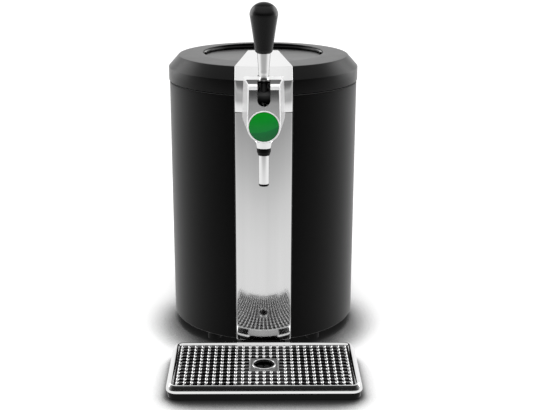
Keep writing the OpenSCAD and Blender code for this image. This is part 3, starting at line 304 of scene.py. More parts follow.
metal("tap_satin", grey(0.76), grey(0.82), (0.18, 0.24), stretch=(0.04, 1, 1), scale=90)
# Near-white, hardly metallic copy of chrome for the tap housing: painted reflection, so its walls look as
# bright as chrome that catches a side light.
metal("tap_polish", grey(0.93), grey(0.96), (0.26, 0.32), scale=20, metallic=0.2)
metal("grille_steel", grey(0.74), grey(0.80), (0.12, 0.2), scale=80)
metal("aluminium", grey(0.6), grey(0.68), (0.28, 0.4), stretch=(1, 1, 0.1), scale=50)
metal("steel", grey(0.27), grey(0.33), (0.2, 0.3), scale=70)

# The badge's two fields meet in a parabola, whose crown is this far to the left, in metres;
# the greens run over this many millimetres below and above the badge's middle
FIELD_SHIFT = 0.012
FIELD_BEND = -9.0
FIELD_HALF = 15
FIELD_GREENS = [(0.0, (0.002, 0.115, 0.026)), (0.24, (0.002, 0.14, 0.03)),
                (0.27, (0.003, 0.19, 0.03)), (1.0, (0.002, 0.25, 0.012))]


def badge_material():
    """Two plain greens: a lighter field above a soft curved edge, darker below it."""
    made = Surface("badge_green")
    place = made.split()
    across = made.maths("ADD", place["X"], FIELD_SHIFT)
    bend = made.maths("MULTIPLY", made.maths("POWER", across, 2), FIELD_BEND)
    height = made.maths("ADD", place["Z"], bend)
    share = made.ranged(height, (BADGE_Z - FIELD_HALF) * MM, (BADGE_Z + FIELD_HALF) * MM)
    made.join(made.ramp(share, FIELD_GREENS), made.shader.inputs["Base Color"])
    made.rough(made.noise(60), 0.1, 0.16)
    made.bump(made.noise(400), 0.000004)
    made.set(Specular_IOR_Level=0.25)


badge_material()

for row in RECORD["subparts"]:
    node_object = NODES[row["node"]]
    if not node_object.material_slots:
        node_object.data.materials.append(MATERIALS[row["material_slot"]])
    for material_slot in node_object.material_slots:
        material_slot.material = MATERIALS[row["material_slot"]]


# ---- Mesh helpers ----

NEARLY_STRAIGHT = math.pi - 0.01
SAME_PLACE = 1e-7


def circle(sides):
    """The cosine and sine of each direction round a full turn."""
    turns = [math.tau * k / sides for k in range(sides)]
    return [(math.cos(a), math.sin(a)) for a in turns]


def box_outline(half_width, front, back):
    """Corners of a rectangle seen from above, about the middle of the width."""
    return [(-half_width, front), (half_width, front), (half_width, back), (-half_width, back)]


def rounded(points, radii, steps=5, closed=True):
    """The outline with its corners rounded; radii gives one radius for each point."""
    made = []
    count = len(points)
    for i, (point, radius) in enumerate(zip(points, radii)):
        here = Vector(point)
        if radius <= 0 or (not closed and i in (0, count - 1)):
            made.append(here)
            continue
        before = (Vector(points[i - 1]) - here).normalized()
        after = (Vector(points[(i + 1) % count]) - here).normalized()
        angle = before.angle(after)
        if angle > NEARLY_STRAIGHT:
            made.append(here)
            continue
        reach = radius / math.tan(angle / 2)
        start = here + before * reach
        end = here + after * reach
        centre = here + (before + after).normalized() * radius / math.sin(angle / 2)
        first, last = start - centre, end - centre
        turn = first.angle(last)
        for k in range(steps + 1):
            t = k / steps
            spoke = (first * math.sin((1 - t) * turn) + last * math.sin(t * turn)) / math.sin(turn)
            made.append(centre + spoke)
    return made


def join_rows(bm, rows):
    """Faces between neighbouring rows, each of which is a closed outline."""
    for low, high in zip(rows, rows[1:]):
        for i in range(len(low)):
            j = (i + 1) % len(low)
            bm.faces.new((low[i], low[j], high[j], high[i]))


def join_spokes(bm, spokes):
    """Faces between neighbouring spokes round a full turn, and one through their last points."""
    for here, there in zip(spokes, spokes[1:] + spokes[:1]):
        for j in range(len(here) - 1):
            bm.faces.new((here[j], there[j], there[j + 1], here[j + 1]))
    bm.faces.new([spoke[-1] for spoke in reversed(spokes)])


def loft(rings, closed_rows=False, bm=None):
    """A mesh through rings of equally many points; each ring is a closed outline."""
    if bm is None:
        bm = bmesh.new()
    rows = [[bm.verts.new(p) for p in ring] for ring in rings]
    if closed_rows:
        join_rows(bm, rows + rows[:1])
    else:
        join_rows(bm, rows)
        bm.faces.new(rows[0])
        bm.faces.new(rows[-1][::-1])
    return bm


def lathe(profile, steps, centre=(0, 0), start=0.0, turn=math.tau):
    """A closed outline of (radius, height) turned about an upright line through centre."""
    full = turn == math.tau
    rings = []
    for k in range(steps if full else steps + 1):
        a = start + turn * k / steps
        c, s = math.cos(a), math.sin(a)
        rings.append([at(centre[0] + r * c, centre[1] + r * s, z) for r, z in profile])
    bm = loft(rings, closed_rows=full)
    bmesh.ops.remove_doubles(bm, verts=bm.verts, dist=SAME_PLACE)
    return bm


def prism(outline, make_point, low, high):
    """The outline's points, given as (u, v), carried from low to high."""
    return loft([[make_point(u, v, level) for u, v in outline] for level in (low, high)])


def thing(name, bm):
    """A plain object made from a mesh under construction, with its faces turned outwards."""
    bmesh.ops.recalc_face_normals(bm, faces=bm.faces)
    mesh = bpy.data.meshes.new(name)
    bm.to_mesh(mesh)
    bm.free()
    made = bpy.data.objects.new(name, mesh)
    bpy.context.collection.objects.link(made)
    return made


def carve(obj, cutter, operation="DIFFERENCE"):
    """Cuts one object with another, or joins the other to it, and throws the other away."""
    change = obj.modifiers.new("carve", "BOOLEAN")
    change.object = cutter
    change.operation = operation
    change.solver = "EXACT"
    graph = bpy.context.evaluated_depsgraph_get()
    mesh = bpy.data.meshes.new_from_object(obj.evaluated_get(graph))
    obj.modifiers.clear()
    old = obj.data
    obj.data = mesh
    bpy.data.meshes.remove(old)
    bpy.data.objects.remove(cutter)


def piece(obj, body, slot, nodes, sharp=32, bevel=0.0):
    """Shades a finished object, gives it its material and hangs it on its body."""
    mesh = obj.data
    mesh.materials.clear()
    mesh.materials.append(MATERIALS[slot])
    for face in mesh.polygons:
        face.use_smooth = True
    if bevel:
        change = obj.modifiers.new("edge", "BEVEL")
        change.width = bevel * MM
        change.segments = 3
        change.limit_method = "ANGLE"
        change.angle_limit = math.radians(sharp)
        change.harden_normals = True
    else:
        mesh.set_sharp_from_angle(angle=math.radians(sharp))
    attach(obj, body)
    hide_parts(*nodes)


def turned(name, profile, body, slot, nodes, centre, steps=96, sharp=32):
    piece(thing(name, lathe(profile, steps, centre)), body, slot, nodes, sharp)


# ---- Housing ----

# The cutters behind reach between these two depths; heights are above the shell's foot
BEHIND = (60, 140)
REAR_HALF_W = 61
REAR_HEIGHTS = (32.5, 288.5)
TAIL_HALF_W = 87
TAIL_H = 3.3
PANEL_STEPS = 40


def make_shell():
    """Outer shell, open in front for the panel, behind for the rear housing and low at the back."""
    front = math.asin((PANEL_HALF_W + 0.9) / BODY_R)
    inner = BODY_R - SHELL_T
    outline = rounded(
        [(inner, shell_lo.z), (BODY_R, shell_lo.z), (BODY_R, shell_hi.z), (inner, shell_hi.z)],
        [0.2, 2.0, 1.0, 0.4],
    )
    shell = thing("shell", lathe(outline, 180, start=-math.pi / 2 + front, turn=math.tau - 2 * front))
    low, high = (shell_lo.z + height for height in REAR_HEIGHTS)
    carve(shell, thing("window", prism(box_outline(REAR_HALF_W, *BEHIND), at, low, high)))
    tail = prism(box_outline(TAIL_HALF_W, *BEHIND), at, 0, shell_lo.z + TAIL_H)
    carve(shell, thing("tail", tail))
    piece(shell, "housing", "black_satin", ["outer_shell"])


def make_panel():
    half = math.asin(PANEL_HALF_W / PANEL_R)
    angles = [-half + 2 * half * k / PANEL_STEPS for k in range(PANEL_STEPS + 1)]
    front = [(PANEL_R * math.sin(a), -PANEL_R * math.cos(a)) for a in angles]
    inner = PANEL_R - PANEL_T
    back = [(inner * math.sin(a), -inner * math.cos(a)) for a in reversed(angles)]
    between = [0.0] * (PANEL_STEPS - 1)
    outline = rounded(front + back, [1.1, *between, 1.1, 0.3, *between, 0.3], steps=6)
    bm = prism(outline, at, panel_lo.z, panel_hi.z)
    piece(thing("panel", bm), "housing", "brushed_panel", ["front_panel"], sharp=50, bevel=0.4)


make_shell()
make_panel()


# ---- Lid ----

DISH_EDGE = 0.8


def dish_z(y, drop=0.0):
    """Height of the sloping floor of the sunken top."""
    return LID_TOP - drop - (y - DISH_FRONT) * DISH_DEPTH / (2 * DISH_R)


def lid_outline(proud=0.0):
    """Rounded outline of skirt, shoulder and top as (radius, height), from below."""
    slope = math.atan2(LID_R - LID_TOP_R, LID_TOP - SKIRT_TOP)
    side = proud * math.tan(slope / 2)
    top = proud * math.tan((math.pi / 2 - slope) / 2)
    return rounded(
        [(LID_R + proud, LID_LOW), (LID_R + proud, SKIRT_TOP + side),
         (LID_TOP_R + top, LID_TOP + proud), (LID_FLAT_R, LID_TOP + proud)],
        [0, 2.2, 2.2, 0], closed=False,
    )


def make_lid_shell():
    """Each spoke runs from inside the skirt over the shoulder and the flat rim into the dish."""
    under_z = LID_TOP - DISH_DEPTH - DISC_T - LID_T - 2 * GAP
    inner = LID_R - LID_T
    skirt = rounded(
        [(inner - 4, under_z), (inner, under_z - 4), (inner, LID_LOW), (LID_R, LID_LOW),
         (LID_R, SKIRT_TOP)],
        [0, 0, 0.3, 0.8, 0], closed=False,
    )[:-1]
    outer = skirt + lid_outline()[1:]
    edge_r, edge_steps = DISH_R + DISH_EDGE, 4
    bm = bmesh.new()
    spokes = []
    for c, s in circle(192):
        points = [at(r * c, r * s, z) for r, z in outer]
        for t in (0.25, 0.5, 0.75):
            x = (1 - t) * LID_FLAT_R * c + t * edge_r * c
            y = (1 - t) * LID_FLAT_R * s + t * (DISH_BACK + edge_r * s)
            points.append(at(x, y, LID_TOP))
        for k in range(edge_steps + 1):
            b = k / edge_steps * math.pi / 2
            r = DISH_R + DISH_EDGE * (1 - math.sin(b))
            points.append(at(r * c, DISH_BACK + r * s, LID_TOP - DISH_EDGE * (1 - math.cos(b))))
        y = DISH_BACK + DISH_R * s
        points.append(at(DISH_R * c, y, dish_z(y, DISC_T + GAP)))
        spokes.append([bm.verts.new(p) for p in points])
    join_spokes(bm, spokes)
    bm.faces.new([spoke[0] for spoke in spokes])
    piece(thing("lid_shell_piece", bm), "lid", "lid_black", ["lid_shell"])


def make_lid_disc():
    """Sloping disc with an eased edge, as shares of its radius and drops below its top."""
    profile = [(0.5, 0.0), (0.93, 0.0), (0.985, 0.0), (0.998, 0.25), (1.0, 0.7), (1.0, 2.4), (0.99, 2.5)]
    bm = bmesh.new()
    spokes = []
    for c, s in circle(128):
        spoke = []
        for share, drop in profile:
            r = (DISH_R - GAP) * share
            y = DISH_BACK + r * s
            spoke.append(bm.verts.new(at(r * c, y, dish_z(y, drop))))
        spokes.append(spoke)
    middle = bm.verts.new(at(0, DISH_BACK, dish_z(DISH_BACK)))
    for here, there in zip(spokes, spokes[1:] + spokes[:1]):
        bm.faces.new((middle, here[0], there[0]))
    join_spokes(bm, spokes)
    piece(thing("lid_disc_piece", bm), "lid", "disc_graphite", ["lid_disc"])


def make_bead():
    """Round bar along the back half of the dish's edge; it closes in a dome at both ends."""
    radius, half, lift = 2.1, math.radians(98), 2.4
    ring_r = DISH_R - GAP - radius - 0.4
    steps, end_steps = 120, 4
    rings = []
    for k in range(-end_steps, steps + end_steps + 1):
        t = min(max(k, 0), steps) / steps
        dome = max(-k, k - steps, 0) / end_steps * math.pi / 2
        shrunk = radius * math.cos(dome * 0.96)
        slide = math.sin(dome) * radius / ring_r * (-1 if k < 0 else 1)
        a = math.pi / 2 - half + 2 * half * t + slide
        ring = []
        for c, s in circle(16):
            r = ring_r + shrunk * c
            y = DISH_BACK + r * math.sin(a)
            ring.append(at(r * math.cos(a), y, dish_z(y) + lift + shrunk * s))
        rings.append(ring)
    piece(thing("grip_bead", loft(rings)), "lid", "gloss_black", ["lid_grip_bead"])


BONNET_PROUD = 0.2
BONNET_T = 1.2
BONNET_EDGE = 0.5
BONNET_CORNER = 4.0
BONNET_BACK_HALF = 21.5
# How much lower its back edge is, and over which share of its length that ends
BONNET_BACK_DROP = 0.35
BONNET_BACK_SHARE = 0.012
# Places of the cross-sections over the lid, as shares of the way from the back edge
BONNET_SHARES = [0, 0.004, 0.012, 0.024, 0.04, 0.1, 0.2, 0.3, 0.4, 0.5, 0.6, 0.7, 0.8, 0.88, 0.94]
BONNET_ACROSS = [-1 + 2 * k / 28 for k in range(29)]


def bonnet_half(y):
    """Half the bonnet's width over the lid; its two corners at the back are round."""
    front_y = -math.sqrt(LID_TOP_R**2 - PANEL_HALF_W**2)
    into = bonnet_hi.y - y
    plain = BONNET_BACK_HALF + (PANEL_HALF_W - BONNET_BACK_HALF) * into / (bonnet_hi.y - front_y)
    if into < BONNET_CORNER:
        return plain - BONNET_CORNER + math.sqrt(max(BONNET_CORNER**2 - (BONNET_CORNER - into) ** 2, 0))
    return plain


def bonnet_section(half, surface):
    """Closed cross-section: outer line with rounded ends, then the inner line."""
    ease = 0.15
    ring = [surface(-half, BONNET_EDGE), surface(-half + ease, ease)]
    ring += [surface(u * (half - BONNET_EDGE), 0) for u in BONNET_ACROSS]
    ring += [surface(half - ease, ease), surface(half, BONNET_EDGE)]
    ring += [surface(u * half, BONNET_T) for u in reversed(BONNET_ACROSS)]
    return ring


def make_bonnet():
    """Bright cover as a chain of cross-sections from its back edge over the lid to the panel."""
    rows = []
    top_z = LID_TOP + BONNET_PROUD
    first_r = lid_outline(BONNET_PROUD)[-1][0] + 4
    for t in BONNET_SHARES:
        back_round = BONNET_BACK_DROP * max(0, 1 - t / BONNET_BACK_SHARE)

        def on_top(x, depth):
            y = (1 - t) * bonnet_hi.y + t * -math.sqrt(first_r**2 - x * x)
            if depth <= BONNET_EDGE:
                return at(x, y, top_z - depth - back_round)
            reach = max(BONNET_T, top_z - dish_z(y)) if y > DISH_FRONT else BONNET_T
            return at(x, y, top_z - reach)

        # The section's ends lie a little behind its middle, and the width is read there
        end_y = (1 - t) * bonnet_hi.y + t * -first_r * 0.97
        rows.append(bonnet_section(bonnet_half(end_y), on_top))
    outline = [p for p in reversed(lid_outline(BONNET_PROUD)) if p[0] > first_r - 0.01]
    outline += [(PANEL_R, LID_LOW), (PANEL_R, LID_LOW - 8), (PANEL_R, bonnet_lo.z + 0.5),
                (PANEL_R - 0.3, bonnet_lo.z)]
    for i, (r, z) in enumerate(outline):
        before = outline[max(i - 1, 0)]
        after = outline[min(i + 1, len(outline) - 1)]
        along = Vector((after[0] - before[0], after[1] - before[1])).normalized()
        normal = (1, 0) if i >= len(outline) - 2 else (-along[1], along[0])

        def down_front(x, depth):
            inner_r = r - depth * normal[0]
            return at(x, -math.sqrt(inner_r**2 - x * x), z - depth * normal[1])

        rows.append(bonnet_section(PANEL_HALF_W, down_front))
    piece(thing("bonnet", loft(rows)), "lid", "chrome", ["chrome_bonnet"], sharp=40)


make_lid_shell()
make_lid_disc()
make_bead()
make_bonnet()


# ---- Tap: it widens from its front, FACE_R, to its root at the lid's shoulder, ROOT_R ----

ROOT_R = 29
ROOT_Y = -LID_TOP_R
TOP_RATIO = 0.93
TAP_CORNER = 2.6
TAP_T = 2.5
SLOT_HALF = 8
PIVOT_Y = TAP_FRONT + 25
PIVOT_Z = TAP_TOP - 20
SPOUT_Y = TAP_FRONT + 13
SEAT_GAP = 0.15
TOP_PLATE_FRONT = TAP_FRONT + 4
TOP_PLATE_BACK = TAP_FRONT + 35
ROOT_RISE = 5
FOOT_STEPS = 28
SLOT_STEPS = 16
LONG_STEPS = 8
# The rounded front edge: depth behind the front, how much narrower, how much lower
FRONT_EDGE = [(0, 1.1, 3.0), (0.15, 0.6, 2.2), (0.5, 0.2, 1.5), (1.1, 0, 0.9), (2, 0, 0.35),
              (3, 0, 0.05)]


def half_round(r, z, steps):
    """Lower half of a circle from left to right, as (x, z)."""
    turns = [math.pi + math.pi * k / steps for k in range(steps + 1)]
    return [(r * math.cos(a), z + r * math.sin(a)) for a in turns]


def tap_section(y, r, foot_z, top_z):
    """Cross piece of the tap at one depth: half round foot, drafted sides, flat top."""
    top_r = r * TOP_RATIO
    side = [(r + (top_r - r) * t, foot_z + (top_z - foot_z) * t) for t in (0.2, 0.4, 0.6, 0.8)]
    cap = rounded([(r, foot_z), (top_r, top_z), (-top_r, top_z), (-r, foot_z)],
                  [0, TAP_CORNER, TAP_CORNER, 0], closed=False)[1:-1]
    first, last = cap[: len(cap) // 2], cap[len(cap) // 2 :]
    points = half_round(r, foot_z, FOOT_STEPS) + side + first
    points += [(first[-1][0] * (1 - 2 * t), top_z) for t in (0.25, 0.5, 0.75)]
    points += last + [(-x, z) for x, z in reversed(side)]
    return [at(x, y, z) for x, z in points]


def tap_sections(inset, end_y):
    """The tap's outside, or its inside at a given inset, from the front to end_y."""
    rows = []
    for depth, shrink, drop in FRONT_EDGE:
        y = TAP_FRONT + depth + inset
        flare = (ROOT_R - FACE_R) * (y - TAP_FRONT) / (ROOT_Y - TAP_FRONT)
        rows.append(tap_section(y, FACE_R + flare - shrink - inset, BADGE_Z, TAP_TOP - drop - inset))
    first_y = TAP_FRONT + FRONT_EDGE[-1][0] + inset
    for k in range(1, LONG_STEPS + 1):
        y = first_y + (end_y - first_y) * k / LONG_STEPS
        t = (y - TAP_FRONT) / (ROOT_Y - TAP_FRONT)
        r = FACE_R + (ROOT_R - FACE_R) * t - inset
        rows.append(tap_section(y, r, BADGE_Z + ROOT_RISE * t, TAP_TOP - inset))
    return rows


def slot_cutter(name, back):
    """The lever's slot: round below, open above, from before the tap's front to back."""
    above = TAP_TOP + 20
    outline = [(-SLOT_HALF, above), *half_round(SLOT_HALF, PIVOT_Z, SLOT_STEPS), (SLOT_HALF, above)]
    return thing(name, prism(outline, upright_point, TAP_FRONT - 6, back))


def plate_outline(gap, front_radius):
    """The top plate's outline from above, or that of its seat at a given gap."""
    front, back = TOP_PLATE_FRONT - gap, TOP_PLATE_BACK + gap

    def half(y):
        share = (y - TAP_FRONT) / (ROOT_Y - TAP_FRONT)
        return TOP_RATIO * (FACE_R + (ROOT_R - FACE_R) * share) - 1.2 + gap

    points = [(-half(front), front), (half(front), front), (half(back), back), (-half(back), back)]
    return rounded(points, [front_radius, front_radius, 1, 1])


def face_outline(gap):
    """The satin face's outline from the front, or that of its seat at a given gap."""
    r = FACE_R - 1.4 + gap
    top_z = TAP_TOP - 3.4 + gap
    share = (top_z - BADGE_Z) / (TAP_TOP - 3 - BADGE_Z)
    top = r * (1 - (1 - TOP_RATIO) * share)
    cap = rounded([(r, BADGE_Z), (top, top_z), (-top, top_z), (-r, BADGE_Z)], [0, 2, 2, 0], closed=False)
    return half_round(r, BADGE_Z, FOOT_STEPS) + cap[1:-1]


def make_tap_housing():
    housing = thing("tap_body", loft(tap_sections(0, ROOT_Y - 8)))
    carve(housing, thing("cavity", loft(tap_sections(TAP_T, -(PANEL_R + 3.5)))))
    carve(housing, slot_cutter("slot", PIVOT_Y + SLOT_HALF))
    face = prism(face_outline(SEAT_GAP), upright_point, TAP_FRONT - 2, TAP_FRONT + 1.2)
    carve(housing, thing("face_seat", face))
    seat = prism(plate_outline(SEAT_GAP, 2.2), at, TAP_TOP - 2.15, TAP_TOP + 5)
    carve(housing, thing("plate_seat", seat))
    # The housing's near-white satin is painted reflection, standing in for chrome that catches a side
    # light.
    piece(housing, "lid", "tap_polish", ["tap_housing"], sharp=38)


def make_tap_face():
    """Satin face whose upper end leans back in a slow bend."""
    bend_z, bend_r, levels = BADGE_Z + 29, 127.0, 24
    face = thing("face", prism(face_outline(0), upright_point, TAP_FRONT + 0.1, TAP_FRONT + 1.1))
    carve(face, slot_cutter("face_slot", TAP_FRONT + 6))
    bm = bmesh.new()
    bm.from_mesh(face.data)
    for k in range(levels):
        geometry = bm.verts[:] + bm.edges[:] + bm.faces[:]
        place = at(0, 0, bend_z + k)
        bmesh.ops.bisect_plane(bm, geom=geometry, plane_co=place, plane_no=(0, 0, 1))
    for vert in bm.verts:
        over = vert.co.z / MM - bend_z
        if over > 0:
            vert.co.y += over**2 / (2 * bend_r) * MM
    bm.to_mesh(face.data)
    bm.free()
    piece(face, "lid", "tap_satin", ["tap_face"], sharp=40)


def make_tap_plate():
    plate = thing("top_plate", prism(plate_outline(0, 2), at, TAP_TOP - 2, TAP_TOP - 0.2))
    carve(plate, slot_cutter("plate_slot", PIVOT_Y + SLOT_HALF))
    piece(plate, "lid", "inner_black", ["tap_top_plate"], bevel=0.3, sharp=40)


def front_disc(name, profile, slot, nodes):
    """Piece turned about the badge's middle: profile of (radius, depth in front)."""
    rings = [[at(r * c, TAP_FRONT - depth, BADGE_Z + r * s) for r, depth in profile] for c, s in circle(96)]
    bm = loft(rings, closed_rows=True)
    bmesh.ops.remove_doubles(bm, verts=bm.verts, dist=SAME_PLACE)
    piece(thing(name, bm), "lid", slot, nodes)


def make_badge():
    """Domed badge, part of a large ball, in its plain ring."""
    radius, rim, dome, edge, steps = 18.6, 1.2, 1.5, 0.3, 12
    ball = (radius**2 + dome**2) / (2 * dome)
    profile = [(0.0, 0.0), (radius, 0.0), (radius, rim - edge), (radius - edge, rim)]
    for k in range(1, steps + 1):
        r = (radius - edge) * (1 - k / steps)
        profile.append((r, rim + math.sqrt(ball**2 - r * r) - (ball - dome)))
    front_disc("badge_dome", profile, "badge_green", ["badge"])
    inside, outside, low, high = 18.75, 20.2, -0.2, 2.0
    ring = rounded([(inside, low), (outside, low), (outside, high), (inside, high)],
                   [0.1, 0.1, 0.7, 0.6], steps=4)
    front_disc("badge_ring", ring, "pale_ring", ["badge_bezel"])


def make_spout():
    """Neck, its dark ring, the tube and the dark tip, each as (radius, height)."""
    centre = (0, SPOUT_Y)
    neck_lo, neck_hi = span("spout_neck")
    ring_lo, ring_hi = span("spout_ring")
    tube_lo, tube_hi = span("spout_tube")
    tip_lo, tip_hi = span("spout_tip")
    bore, tip_bore, tube_r = 4.5, 3.5, tube_hi.x
    neck = rounded(
        [(bore, neck_lo.z), (9.6, neck_lo.z), (9.9, neck_lo.z + 2), (11.3, BADGE_Z - FACE_R + 1),
         (11.6, neck_hi.z - 2), (bore, neck_hi.z - 2)],
        [0.2, 0.6, 0, 0, 0, 0],
    )
    turned("neck", neck, "lid", "chrome", ["spout_neck"], centre)
    ring = rounded(
        [(bore, ring_lo.z), (tube_r + 0.6, ring_lo.z), (8.5, ring_lo.z + 3.6), (8.9, ring_lo.z + 4.4),
         (8.9, ring_hi.z), (bore, ring_hi.z)],
        [0, 0.4, 0.5, 0.5, 0.7, 0],
    )
    turned("neck_ring", ring, "lid", "gloss_black", ["spout_ring"], centre)
    tube = rounded(
        [(bore, tube_lo.z), (tube_r, tube_lo.z), (tube_r, tube_hi.z), (bore, tube_hi.z)],
        [0, 0.5, 0, 0],
    )
    turned("spout", tube, "lid", "spout_chrome", ["spout_tube"], centre)
    tip_r = tube_r - 0.3
    tip = rounded(
        [(tip_bore, tip_lo.z), (tube_r - 0.9, tip_lo.z), (tip_r, tip_lo.z + 1.2), (tip_r, tip_hi.z),
         (tip_bore, tip_hi.z)],
        [0.4, 0.6, 0.4, 0, 0],
    )
    turned("spout_end", tip, "lid", "gloss_black", ["spout_tip"], centre)


make_tap_housing()
make_tap_face()
make_tap_plate()
make_badge()
make_spout()


# ---- Lever ----

LEVER_CENTRE = (0, PIVOT_Y)
GRIP_LOW = span("tap_handle")[0].z
CAP_LOW = span("handle_cap")[0].z
CAP_TOP = span("handle_cap")[1].z
BALL_R = 6.3
BALL_Z = TAP_TOP + 1.5


def make_grip():
    """Handle that widens from a round foot to a domed top; the cap is the dome's upper part."""
    low_r, top_r, foot_h, dome_h = 11.2, 17.6, 6.5, 15.4
    foot_steps, shaft_steps, dome_steps = 8, 16, 24
    length = CAP_TOP - GRIP_LOW
    shaft = length - dome_h - foot_h
    outline = [(0.0, GRIP_LOW)]
    for k in range(1, foot_steps + 1):
        a = math.pi / 2 * k / foot_steps
        outline.append((low_r * math.sin(a), GRIP_LOW + foot_h * (1 - math.cos(a))))
    for k in range(1, shaft_steps + 1):
        t = k / shaft_steps
        outline.append((low_r + (top_r - low_r) * t**1.1, GRIP_LOW + foot_h + t * shaft))
    for k in range(1, dome_steps + 1):
        a = math.pi / 2 * k / dome_steps
        outline.append((top_r * math.cos(a), GRIP_LOW + length - dome_h * (1 - math.sin(a))))
    lower = [p for p in outline if p[1] < CAP_LOW - 0.3]
    upper = [p for p in outline if p[1] > CAP_LOW + 0.3]
    (r0, z0), (r1, z1) = lower[-1], upper[0]
    edge_r = r0 + (r1 - r0) * (CAP_LOW - z0) / (z1 - z0)
    grip = lower + [(edge_r, CAP_LOW), (0.0, CAP_LOW)]
    turned("grip", grip, "lever", "grip_black", ["tap_handle"], LEVER_CENTRE)
    cap = [(0.0, CAP_LOW), (edge_r - 0.3, CAP_LOW), (edge_r - 0.15, CAP_LOW + 0.15)] + upper
    turned("grip_cap", cap, "lever", "gloss_black", ["handle_cap"], LEVER_CENTRE)


def make_stem():
    """Bright stem: a ball at its foot, then a straight and a widening length into the grip."""
    stem_r, stem_top, steps = 6.9, 8.4, 8
    straight, end_z = TAP_TOP + 12, GRIP_LOW + 3.8
    stem = []
    for k in range(steps + 1):
        a = -math.pi / 2 + math.pi / 2 * 1.3 * k / steps
        stem.append((max(BALL_R * math.cos(a), 0.0), BALL_Z + BALL_R * math.sin(a)))
    stem += [(stem_r, BALL_Z + BALL_R + 1.2), (stem_r, straight)]
    for k in range(1, steps + 1):
        t = k / steps
        stem.append((stem_r + (stem_top - stem_r) * t, straight + t * (end_z - straight)))
    stem.append((0.0, end_z))
    turned("stem", stem, "lever", "chrome", ["lever_stem"], LEVER_CENTRE, steps=64, sharp=40)


def make_hub():
    """Dark barrel across the slot at the pivot, with the neck that carries the stem."""
    barrel_r, barrel_half, neck_r, neck_top = 7.5, 7.7, 4.4, BALL_Z - 4
    outline = [(barrel_r * c, barrel_r * s) for c, s in circle(48)]
    barrel = prism(outline, lambda u, v, x: at(x, PIVOT_Y + u, PIVOT_Z + v), -barrel_half, barrel_half)
    neck = [(0.0, PIVOT_Z), (neck_r, PIVOT_Z), (neck_r, neck_top), (0.0, neck_top)]
    hub = thing("hub", barrel)
    carve(hub, thing("hub_neck", lathe(neck, 48, LEVER_CENTRE)), "UNION")
    piece(hub, "lever", "inner_black", ["lever_stem"], sharp=40)


def make_collar():
    low, top = span("lever_collar")[0].z, BALL_Z - 0.8
    ring = rounded([(5.2, low), (7.7, low), (7.7, top), (6.7, top)], [0.1, 1.0, 0.3, 0.3], steps=3)
    turned("stem_collar", ring, "lever", "gloss_black", ["lever_collar"], LEVER_CENTRE)


make_grip()
make_stem()
make_hub()
make_collar()


# ---- Drip tray ----

tray_lo, tray_hi = span("tray_frame")
grille_lo, grille_hi = span("drip_grille")
TRAY_Y = (tray_lo.y + tray_hi.y) / 2
TRAY_W = tray_hi.x - tray_lo.x
TRAY_R = 14
LEAST_R = 2.2
WELL_Y = (grille_lo.y + grille_hi.y) / 2
FRAME_W = tray_hi.x - grille_hi.x
FRAME_BACK = tray_hi.y - grille_hi.y
FRAME_FRONT = grille_lo.y - tray_lo.y


def tray_ring(inset, z, steps=10):
    """Rounded rectangle of the tray at one height; the rim is narrower at front and back."""

    def share(width):
        return inset * width / FRAME_W if inset <= FRAME_W else width + inset - FRAME_W

    w = TRAY_W / 2 - inset
    y1, y0 = tray_hi.y - share(FRAME_BACK), tray_lo.y + share(FRAME_FRONT)
    r = max(TRAY_R - inset, LEAST_R)
    corners = ((w - r, y1 - r, 0), (-w + r, y1 - r, 90), (-w + r, y0 + r, 180), (w - r, y0 + r, 270))
    points = []
    for centre_x, centre_y, first_angle in corners:
        for k in range(steps + 1):
            a = math.radians(first_angle + 90 * k / steps)
            points.append(at(centre_x + r * math.cos(a), centre_y + r * math.sin(a), z))
    return points


def make_tray_frame():
    """Bright rim as (inset, height): outer face, crest, step down to the grille, ledge under it."""
    low, top = tray_lo.z, tray_hi.z
    outer_top, ledge_top, ledge_low = low + 3.0, low + 7.2, low + 5.6
    crest, step, ledge, foot = (4.6, 7.6), 9.6, FRAME_W + 3, FRAME_W - 3.2
    outline = rounded(
        [(0, low), (0, outer_top), (crest[0], top), (crest[1], top), (step, top - 2.4),
         (FRAME_W, top - 2.8), (FRAME_W, ledge_top), (ledge, ledge_top), (ledge, ledge_low),
         (foot, ledge_low), (foot, low)],
        [0.4, 1.2, 1.6, 0.9, 0.8, 0.3, 0.2, 0.2, 0.2, 0.2, 0.2],
    )
    bm = loft([tray_ring(inset, z) for inset, z in outline], closed_rows=True)
    piece(thing("tray_rim", bm), "tray", "chrome", ["tray_frame"], sharp=40)


def make_tray_pan():
    """Dark pan under the rim, with a tongue behind that reaches under the housing."""
    low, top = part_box("tray_pan")[0].z / MM, tray_lo.z
    side, wall, well, floor = 1.5, 8.0, 10.5, low + 2
    outer = rounded(
        [(side, low), (side, top - 0.1), (wall, top - 0.1), (wall, top + 5), (well, top + 5),
         (well, floor), (40, floor)],
        [1.6, 0.6, 0, 0.3, 0.3, 0.6, 0], steps=4, closed=False,
    )
    foot = [(8, low), (2.6, low)]
    pan = thing("tray_base", loft([tray_ring(inset, z) for inset, z in foot + outer[1:-1]]))
    tongue_half, tongue_back, tongue_top = 30, -82.5, 3.2
    tongue = prism(box_outline(tongue_half, TRAY_Y + 50, tongue_back), at, low, tongue_top)
    carve(pan, thing("tongue", tongue), "UNION")
    piece(pan, "tray", "gloss_black", ["tray_pan"], sharp=35)


make_tray_frame()
make_tray_pan()


# ---- Drip grille: bars from front to back, cross bars below them, a bead on each crossing ----

GRILLE_W = grille_hi.x - grille_lo.x
GRILLE_D = grille_hi.y - grille_lo.y
COLUMNS = 25
ROWS = 13
# Twice the way from the grille's side to the middle of its first bar
MARGIN = 3.4
BAR_W = 2.4
BAR_EDGE = 0.5
BAR_TOP = grille_hi.z - 1.1
CROSS_W = 3.0
CROSS_EDGE = 0.12
CROSS_TOP = grille_lo.z + 0.7
BEAD_HALF_X = 2.2
BEAD_HALF_Y = 4.3
BEAD_BASE = grille_hi.z - 1.7
BEAD_H = 1.6
BEAD_SIDES = 12
